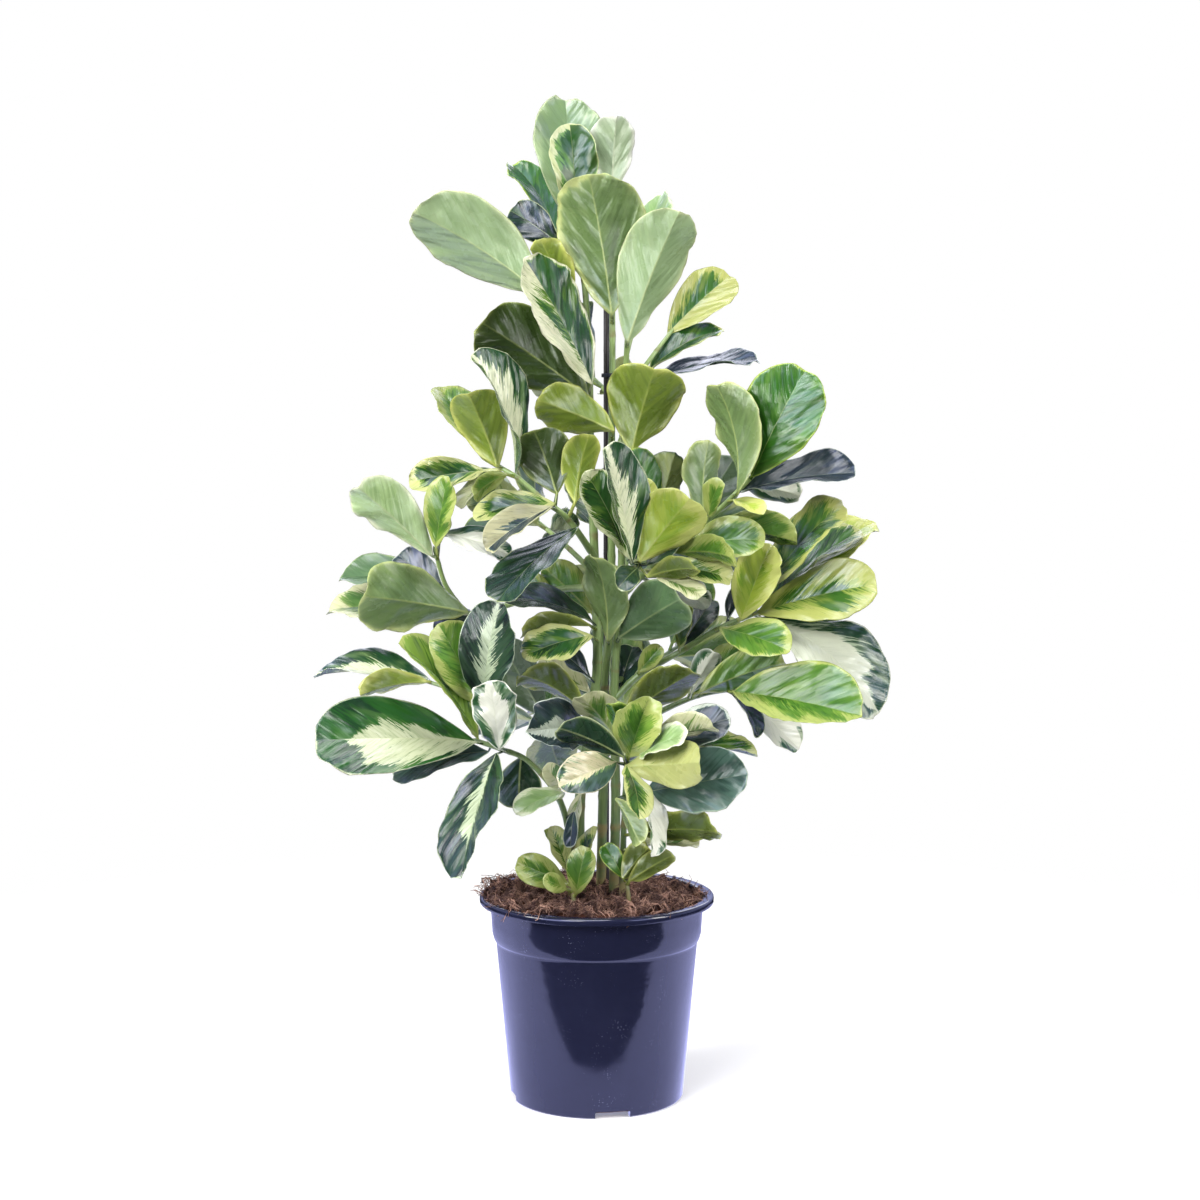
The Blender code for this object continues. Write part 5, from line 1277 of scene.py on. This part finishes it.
def fine_leaf(leaf, tag, out):
    """Add one finished leaf, stalk and blade in one skin, to the plant's lists."""
    marks = random.Random(tag)
    own = marks.uniform(0.0, 9.0)
    sort = dict(zip(SORT, TONES[leaf["tone"]]))
    sort["edge"] *= marks.uniform(0.75, 1.3)
    sort["heart"] *= marks.uniform(0.8, 1.2)
    sort["ruffle"] = marks.uniform(0.7, 1.45)
    sort["sector"] = marks.uniform(-0.35, 0.35)
    sort["until"] = 2.0
    leaf = {**sort, **leaf}
    drawn_out = marks.choice((0.02, 0.012, 0.0, -0.012))
    shows = 1.0 if leaf["shows"] == "upper" else -1.0
    length = (leaf["tip"] - leaf["foot"]).length
    axis = (leaf["tip"] - leaf["foot"]) / length
    ahead, stalk_side, stalk_up = stalk_frame(leaf)
    foot_normal = blade_normal(leaf, 0.0, 0.0)
    foot_side = (blade_point(leaf, 1.0, 0.0) - blade_point(leaf, -1.0, 0.0)).normalized()

    def stalk_vertex(u, t, face, round_edge):
        f = 1.0 + t
        side = stalk_side.lerp(foot_side, f).normalized()
        up = stalk_up.lerp(foot_normal, f).normalized()
        across = u * (2.5 - 0.6 * f) * MM
        point = leaf["root"] + ahead * f + side * across
        point += up * (face * round_edge * (1.5 - 0.15 * f) * MM)
        return point, across, -ahead.length * (1.0 - f), 0.004

    def blade_vertex(u, t, face, round_edge):
        half = half_width(t, leaf["width"])
        # the blade's half thickness: rounder near the foot, thinner at the very tip
        flat = min(1.0, t / 0.25)
        body = round_edge * 1.35 * (1 - flat) + min(1.0, round_edge * 1.7) * 0.5 * flat
        if t > 0.98:
            body *= 0.75
        # the midrib stands out underneath and is a groove on top
        strength = (1.0 - 0.75 * t) * min(1.0, t / 0.1)
        if face < 0:
            body += 0.85 * strength * math.exp(-(abs(u) * half / 1.3) ** 2)
        elif face > 0:
            body -= 0.28 * strength * math.exp(-(abs(u) * half / 1.1) ** 2)
        lift, aside = crumple(leaf, u, t, half, length, own)
        # the tip is drawn out a little, or notched
        point = blade_point(leaf, u if u else 1e-9, t)
        point += axis * (drawn_out * length * (1 - u * u) ** 3 * t ** 14)
        point += blade_normal(leaf, u, t) * (face * body + lift) * MM + foot_side * (aside * MM)
        return point, u * half * MM, t * length, min((1 - abs(u)) * half * MM,
                                                     (1 - t) * 0.9 * length)

    start = len(out["verts"])
    rings = []
    for t in STALK_ROWS + ROWS:
        half = max(STALK_HALF_WIDTH, half_width(max(t, 0.0), leaf["width"]))
        right = [min(0.16, 1.0 / half), min(0.32, 2.6 / half), 0.44, 0.58, 0.72, 0.85, 0.955, 1.0]
        columns = [-u for u in reversed(right)] + [0.0] + right
        held = min(1.0, max(0.0, (leaf["until"] - t) / 0.3))
        top = [(u, 1 if abs(u) < 1 else 0) for u in columns]
        under = [(u, -1) for u in columns[-2:0:-1]]
        ring = []
        for u, face in top + under:
            make = stalk_vertex if t < 0 else blade_vertex
            point, across, up_to, rim = make(u, t, face, math.sqrt(max(0.0, 1 - u * u)))
            ring.append(len(out["verts"]))
            out["verts"].append(point)
            out["place"].append((u, max(t, 0.0), face * shows))
            out["spot"].append((across, up_to, own))
            out["rim"].append(rim if face else 0.0)
            out["share"].append((leaf["edge"] * MM, leaf["heart"] * held, shows))
        rings.append(ring)
    count = len(ring)
    for low, high in zip(rings, rings[1:]):
        for k in range(count):
            n = (k + 1) % count
            # both faces are split along the same diagonals, so that they lie evenly apart
            if k < ACROSS - 1:
                out["faces"] += [(low[k], low[n], high[n]), (low[k], high[n], high[k])]
            else:
                out["faces"] += [(low[k], low[n], high[k]), (low[n], high[n], high[k])]
    out["faces"].append(tuple(reversed(rings[0])))
    # close the tip across, top to bottom
    for k in range(ACROSS - 1):
        corners = ring[k], ring[k + 1], ring[(count - k - 1) % count], ring[(count - k) % count]
        if k == 0:
            corners = corners[:3]
        elif k == ACROSS - 2:
            corners = corners[:2] + corners[3:]
        out["faces"].append(corners)
    added = len(out["verts"]) - start
    for name in COLOURS:
        out[name] += [linear(leaf[name])] * added
    out["look"] += [(leaf["streaky"], leaf["glow"], leaf["sector"])] * added


# leaf blade: thick waxy cuticle. The upper face is glossy over deep green, the lower one paler, with
# a soft copy of the upper's pattern. Side veins run out at a slant, and the light tone follows them
# in streaks. Clouds of painted shade and painted highlight lie over the blade, and a hidden
# underside is darkened as painted shade
leaf_skin, tree, shader = new_material("waxy_variegated_leaf")

# The pattern, step by step: a name, what is done, and to what. "streaks" is noise drawn out
# along the side veins, about -0.3 to 0.3: its size across and along them in metres, a shift and
# its detail. "ramp" is a smooth step between two values, at times with what it ends at.
PATTERN = [
    # side veins leave the midrib at a slant and bend towards the tip
    ("side", "SIGN", "across"),
    ("off_rib", "ABSOLUTE", "across"),
    ("slant", "MULTIPLY_ADD", "off_rib", 6.0, 1.2),
    ("drop", "MULTIPLY", "off_rib", "slant"),
    ("vein", "SUBTRACT", "along", "drop"),
    ("half_seed", "MULTIPLY_ADD", "side", 3.7, "seed"),
    ("drift", "join", "vein", "off_rib", "half_seed"),
    ("fine", "streaks", 0.0024, 0.013, 0.0, 2.0),
    ("middle", "streaks", 0.0075, 0.030, 5.0, 2.0),
    ("broad", "streaks", 0.034, 0.045, 11.0, 1.0),
    ("patchy", "streaks", 0.0045, 0.028, 23.0, 3.0),
    ("fleck", "streaks", 0.0011, 0.007, 31.0, 1.0),
    # lower is 1 on the blade's lower face, hidden on the face that the photo doesn't show
    ("top", "MULTIPLY", "face", "shows"),
    ("lower", "ramp", "top", 0.1, -0.1),
    ("upper", "SUBTRACT", 1.0, "lower"),
    ("hidden", "ramp", "face", 0.1, -0.1),
    # the lower face shows the pattern blurred, through the thickness of the blade
    ("blur", "MULTIPLY_ADD", "lower", 0.0022, 0.0004),
    ("sharp", "MULTIPLY", "blur", -1.0),
    ("soft", "MULTIPLY", "blur", 2.0),
    ("softer", "MULTIPLY", "blur", -2.0),
    ("ragged", "MULTIPLY_ADD", "streaky", 0.8, 0.2),
    ("jag", "MULTIPLY", "middle", 1.6),
    ("jag", "MULTIPLY_ADD", "fine", 2.6, "jag"),
    ("jag", "MULTIPLY", "jag", "ragged"),
    ("jag", "MULTIPLY_ADD", "broad", 3.2, "jag"),
    ("wider", "MULTIPLY_ADD", "sector", "side", 1.0),
    # margin and core are above 0 in the light margin and in the light heart
    ("reach", "MULTIPLY", "edge", "wider"),
    ("reach", "MULTIPLY_ADD", "reach", "jag", "reach"),
    ("margin", "SUBTRACT", "reach", "rim"),
    ("arch", "MULTIPLY", "t", math.pi),
    ("arch", "SINE", "arch"),
    ("core", "MULTIPLY_ADD", "arch", 0.8, 0.3),
    ("core", "MULTIPLY_ADD", "jag", 0.85, "core"),
    ("core", "MAXIMUM", "core", 0.42),
    ("share", "MULTIPLY", "heart", "wider"),
    ("core", "MULTIPLY", "core", "share"),
    ("off_middle", "ABSOLUTE", "u"),
    ("off_middle", "ADD", "off_middle", 0.06),
    ("core", "SUBTRACT", "core", "off_middle"),
    ("in_margin", "ramp", "margin", "sharp", "blur"),
    ("in_heart", "ramp", "core", -0.02, 0.02),
    ("in_light", "MAXIMUM", "in_margin", "in_heart"),
    # the tone between lies round both
    ("near", "MULTIPLY_ADD", "patchy", 2.0, 0.5),
    ("near_margin", "MULTIPLY_ADD", "reach", "near", "margin"),
    ("near_margin", "ramp", "near_margin", "softer", "soft", 0.0, 0.85),
    ("near", "MULTIPLY_ADD", "patchy", 1.5, 0.12),
    ("near_core", "MULTIPLY_ADD", "heart", "near", "core"),
    ("near_core", "ramp", "near_core", -0.05, 0.05, 0.0, 0.85),
    ("near_light", "MAXIMUM", "near_margin", "near_core"),
    # deeper streaks in the main green, and clouds of the deep tone and of the one between that are
    # painted shade and painted highlight on the blade's buckles, fainter on the lower face
    ("deep_most", "MULTIPLY_ADD", "streaky", 0.85, 0.15),
    ("deeper", "MULTIPLY_ADD", "broad", 0.8, "patchy"),
    ("deeper", "ramp", "deeper", -0.08, 0.16, 0.0, "deep_most"),
    # painted light and shade of the buckles, in clouds about 25 mm wide
    ("buckle_light_and_shade", "streaks", 0.026, 0.024, 61.0, 1.5),
    ("buckle_light_and_shade", "MULTIPLY_ADD", "middle", 0.25, "buckle_light_and_shade"),
    ("painted_shade_most", "MULTIPLY_ADD", "lower", -0.4, 0.8),
    ("painted_shade_clouds", "ramp", "buckle_light_and_shade", 0.04, 0.24, 0.0, "painted_shade_most"),
    ("painted_highlight_most", "MULTIPLY_ADD", "lower", -0.3, 0.6),
    ("painted_highlight_clouds", "ramp", "buckle_light_and_shade", -0.02, -0.22, 0.0, "painted_highlight_most"),
    # the light tone is stained, and specks of the main green lie in it
    ("stain", "ramp", "patchy", -0.08, 0.20, 0.0, 0.40),
    ("flecks", "ramp", "fleck", 0.14, 0.20, 0.0, 0.55),
    ("stain", "ADD", "stain", "flecks"),
    ("stain", "MULTIPLY", "stain", "ragged"),
    ("speck_most", "MULTIPLY", "streaky", "upper"),
    ("specks", "MULTIPLY_ADD", "middle", 0.8, "fleck"),
    ("specks", "ramp", "specks", 0.22, 0.28, 0.0, "speck_most"),
    # the edge glows lighter inwards, and its very rim and the midrib are pale
    ("inwards", "DIVIDE", "rim", -0.006),
    ("inwards", "EXPONENT", "inwards"),
    ("uneven", "MULTIPLY_ADD", "broad", 4.0, 1.0),
    ("inwards", "MULTIPLY", "inwards", "uneven"),
    ("inwards", "MULTIPLY", "inwards", "glow"),
    ("outline", "ramp", "rim", 0.0011, 0.0005, 0.0, 0.6),
    ("rib_most", "MULTIPLY_ADD", "lower", 0.25, 0.5),
    ("rib_fade", "MULTIPLY_ADD", "t", -0.75, 1.0),
    ("rib_most", "MULTIPLY", "rib_most", "rib_fade"),
    ("rib", "MULTIPLY_ADD", "lower", 0.0005, 0.0004),
    ("rib", "SUBTRACT", "rib", "off_rib"),
    ("rib", "ramp", "rib", -0.0004, 0.0004, 0.0, "rib_most"),
    # the fine side veins, 2.1 mm apart
    ("wander", "MULTIPLY", "middle", 9.0),
    ("thread", "MULTIPLY_ADD", "vein", 2 * math.pi / 0.0021, "wander"),
    ("thread", "SINE", "thread"),
    ("faint", "MULTIPLY_ADD", "thread", 0.05, 0.05),
    # the face that the photo doesn't show is paler underneath and deeper on top
    # the hidden underside's sage is darker than a real underside: painted shade
    ("under", "MULTIPLY", "hidden", "lower"),
    ("under", "MULTIPLY", "under", 0.45),
    ("on_top", "MULTIPLY", "hidden", "upper"),
    ("on_top", "MULTIPLY", "on_top", 0.6),
    # gloss that the wax bloom varies, a quilted blade, and side veins in low relief
    ("gloss", "MULTIPLY_ADD", "lower", 0.06, 0.12),
    ("gloss", "MULTIPLY_ADD", "wax", 0.18, "gloss"),
    ("quilt", "streaks", 0.0062, 0.030, 41.0, 1.0),
    ("quilt", "MULTIPLY", "quilt", 0.7),
    ("swells", "streaks", 0.024, 0.03, 47.0, 1.0),
    ("quilt", "MULTIPLY_ADD", "swells", 6.0, "quilt"),
    ("relief", "MULTIPLY_ADD", "thread", 0.3, "fine"),
]
made = {}
for name, parts in (("spot", ("across", "along", "seed")), ("place", ("u", "t", "face")),
                    ("share", ("edge", "heart", "shows")), ("look", ("streaky", "glow", "sector"))):
    field = add(tree, "ShaderNodeAttribute", attribute_name=name).outputs["Vector"]
    made.update(zip(parts, add(tree, "ShaderNodeSeparateXYZ", [field]).outputs))
made["rim"] = add(tree, "ShaderNodeAttribute", attribute_name="rim").outputs["Fac"]
where = add(tree, "ShaderNodeTexCoord").outputs["Object"]
made["wax"] = add(tree, "ShaderNodeTexNoise", {"Vector": where, "Scale": 60.0, "Detail": 2.0})
for name, step, *values in PATTERN:
    values = [made.get(value, value) for value in values]
    if step == "streaks":
        size = (1 / values[0], 1 / values[1], 1.0)
        where = add(tree, "ShaderNodeVectorMath", [made["drift"], size, (0.0, 0.0, values[2])],
                    operation="MULTIPLY_ADD")
        wave = add(tree, "ShaderNodeTexNoise", {"Vector": where, "Scale": 1.0,
                                                "Detail": values[3], "Roughness": 0.6})
        made[name] = add(tree, "ShaderNodeMath", [wave, 0.5], operation="SUBTRACT")
    elif step == "join":
        made[name] = add(tree, "ShaderNodeCombineXYZ", values)
    elif step == "ramp":
        made[name] = add(tree, "ShaderNodeMapRange", values, interpolation_type="SMOOTHSTEP")
    else:
        made[name] = add(tree, "ShaderNodeMath", values, operation=step)
for name in COLOURS:
    made[name] = add(tree, "ShaderNodeAttribute", attribute_name=name)
made["stained"] = add(tree, "ShaderNodeMix", [made["stain"], made["light"], made["between"]],
                      data_type="RGBA")
made["rib_tone"] = add(tree, "ShaderNodeMix", [0.35, made["light"], linear("A9BC62")],
                       data_type="RGBA")
# the hidden underside's sage, darkened as painted shade, and the hidden upper face's deep green
made["paler"], made["deep_green"] = linear("667D50"), linear("2F5426")
# each layer of the skin over the last, painted shade and highlight among them: where it lies and its
# tone
tone = made["main"]
for place, layer in (("deeper", "deep"), ("painted_shade_clouds", "deep"), ("painted_highlight_clouds", "between"),
                     ("near_light", "between"), ("in_light", "stained"), ("specks", "main"),
                     ("inwards", "light"), ("outline", "light"), ("rib", "rib_tone"),
                     ("faint", "main"), ("under", "paler"), ("on_top", "deep_green")):
    tone = add(tree, "ShaderNodeMix", [made[place], tone, made[layer]], data_type="RGBA")
quilted = add(tree, "ShaderNodeBump", {"Height": made["quilt"], "Strength": 0.45,
                                       "Distance": 0.0018})
veined = add(tree, "ShaderNodeBump", {"Height": made["relief"], "Strength": 0.25,
                                      "Distance": 0.0005, "Normal": quilted})
feed(tree, shader, {"Base Color": tone, "Roughness": made["gloss"], "Normal": veined,
                    "IOR": 1.5})


def leaf_object(name, rows, first_tag):
    """One mesh object from finished leaves, with what the leaf material reads."""
    out = {key: [] for key in ("verts", "faces", "place", "spot", "share", "look", "rim",
                               *COLOURS)}
    for k, leaf in enumerate(rows):
        fine_leaf(leaf, first_tag + k, out)
    leafy = new_mesh_object(name, out["verts"], out["faces"], leaf_skin)
    face_outward(leafy.data)
    for kind, field, keys in (("FLOAT_VECTOR", "vector", ("place", "spot", "share", "look")),
                              ("FLOAT_COLOR", "color", COLOURS)):
        for key in keys:
            flat = [part for value in out[key] for part in value]
            leafy.data.attributes.new(key, kind, "POINT").data.foreach_set(field, flat)
    leafy.data.attributes.new("rim", "FLOAT", "POINT").data.foreach_set("value", out["rim"])
    return leafy


tag = 100
for plant, rows in leaves.items():
    blades = leaf_object(plant + "_leaves", rows, tag)
    tag += len(rows)
    shine_on.objects.link(blades)
    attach(blades, "root")
    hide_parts(plant)


# Cast leaf. A small leaf that has dropped and dried a little, lying on the soil.

foot = Vector((106.0, -34.0, 0.0)) * MM
reach = Matrix.Rotation(math.radians(20.0), 3, "Z") @ Vector((0, 27.0, 0)) * MM
low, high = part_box("fallen_leaf")
foot.z = (low[2] + high[2]) / 2
cast = {"foot": foot, "tip": foot + reach, "root": foot - reach * 0.16,
        "normal": Vector((0, 0, 1)), "width": 13.0, "tone": "green", "shows": "upper",
        "waves": 1.0, **dict.fromkeys(("bow", "fold", "cup", "wave", "phase", "twist"), 0.0)}
cast_leaf = leaf_object("cast_leaf", [cast], 77)
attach(cast_leaf, "root")
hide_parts("fallen_leaf")
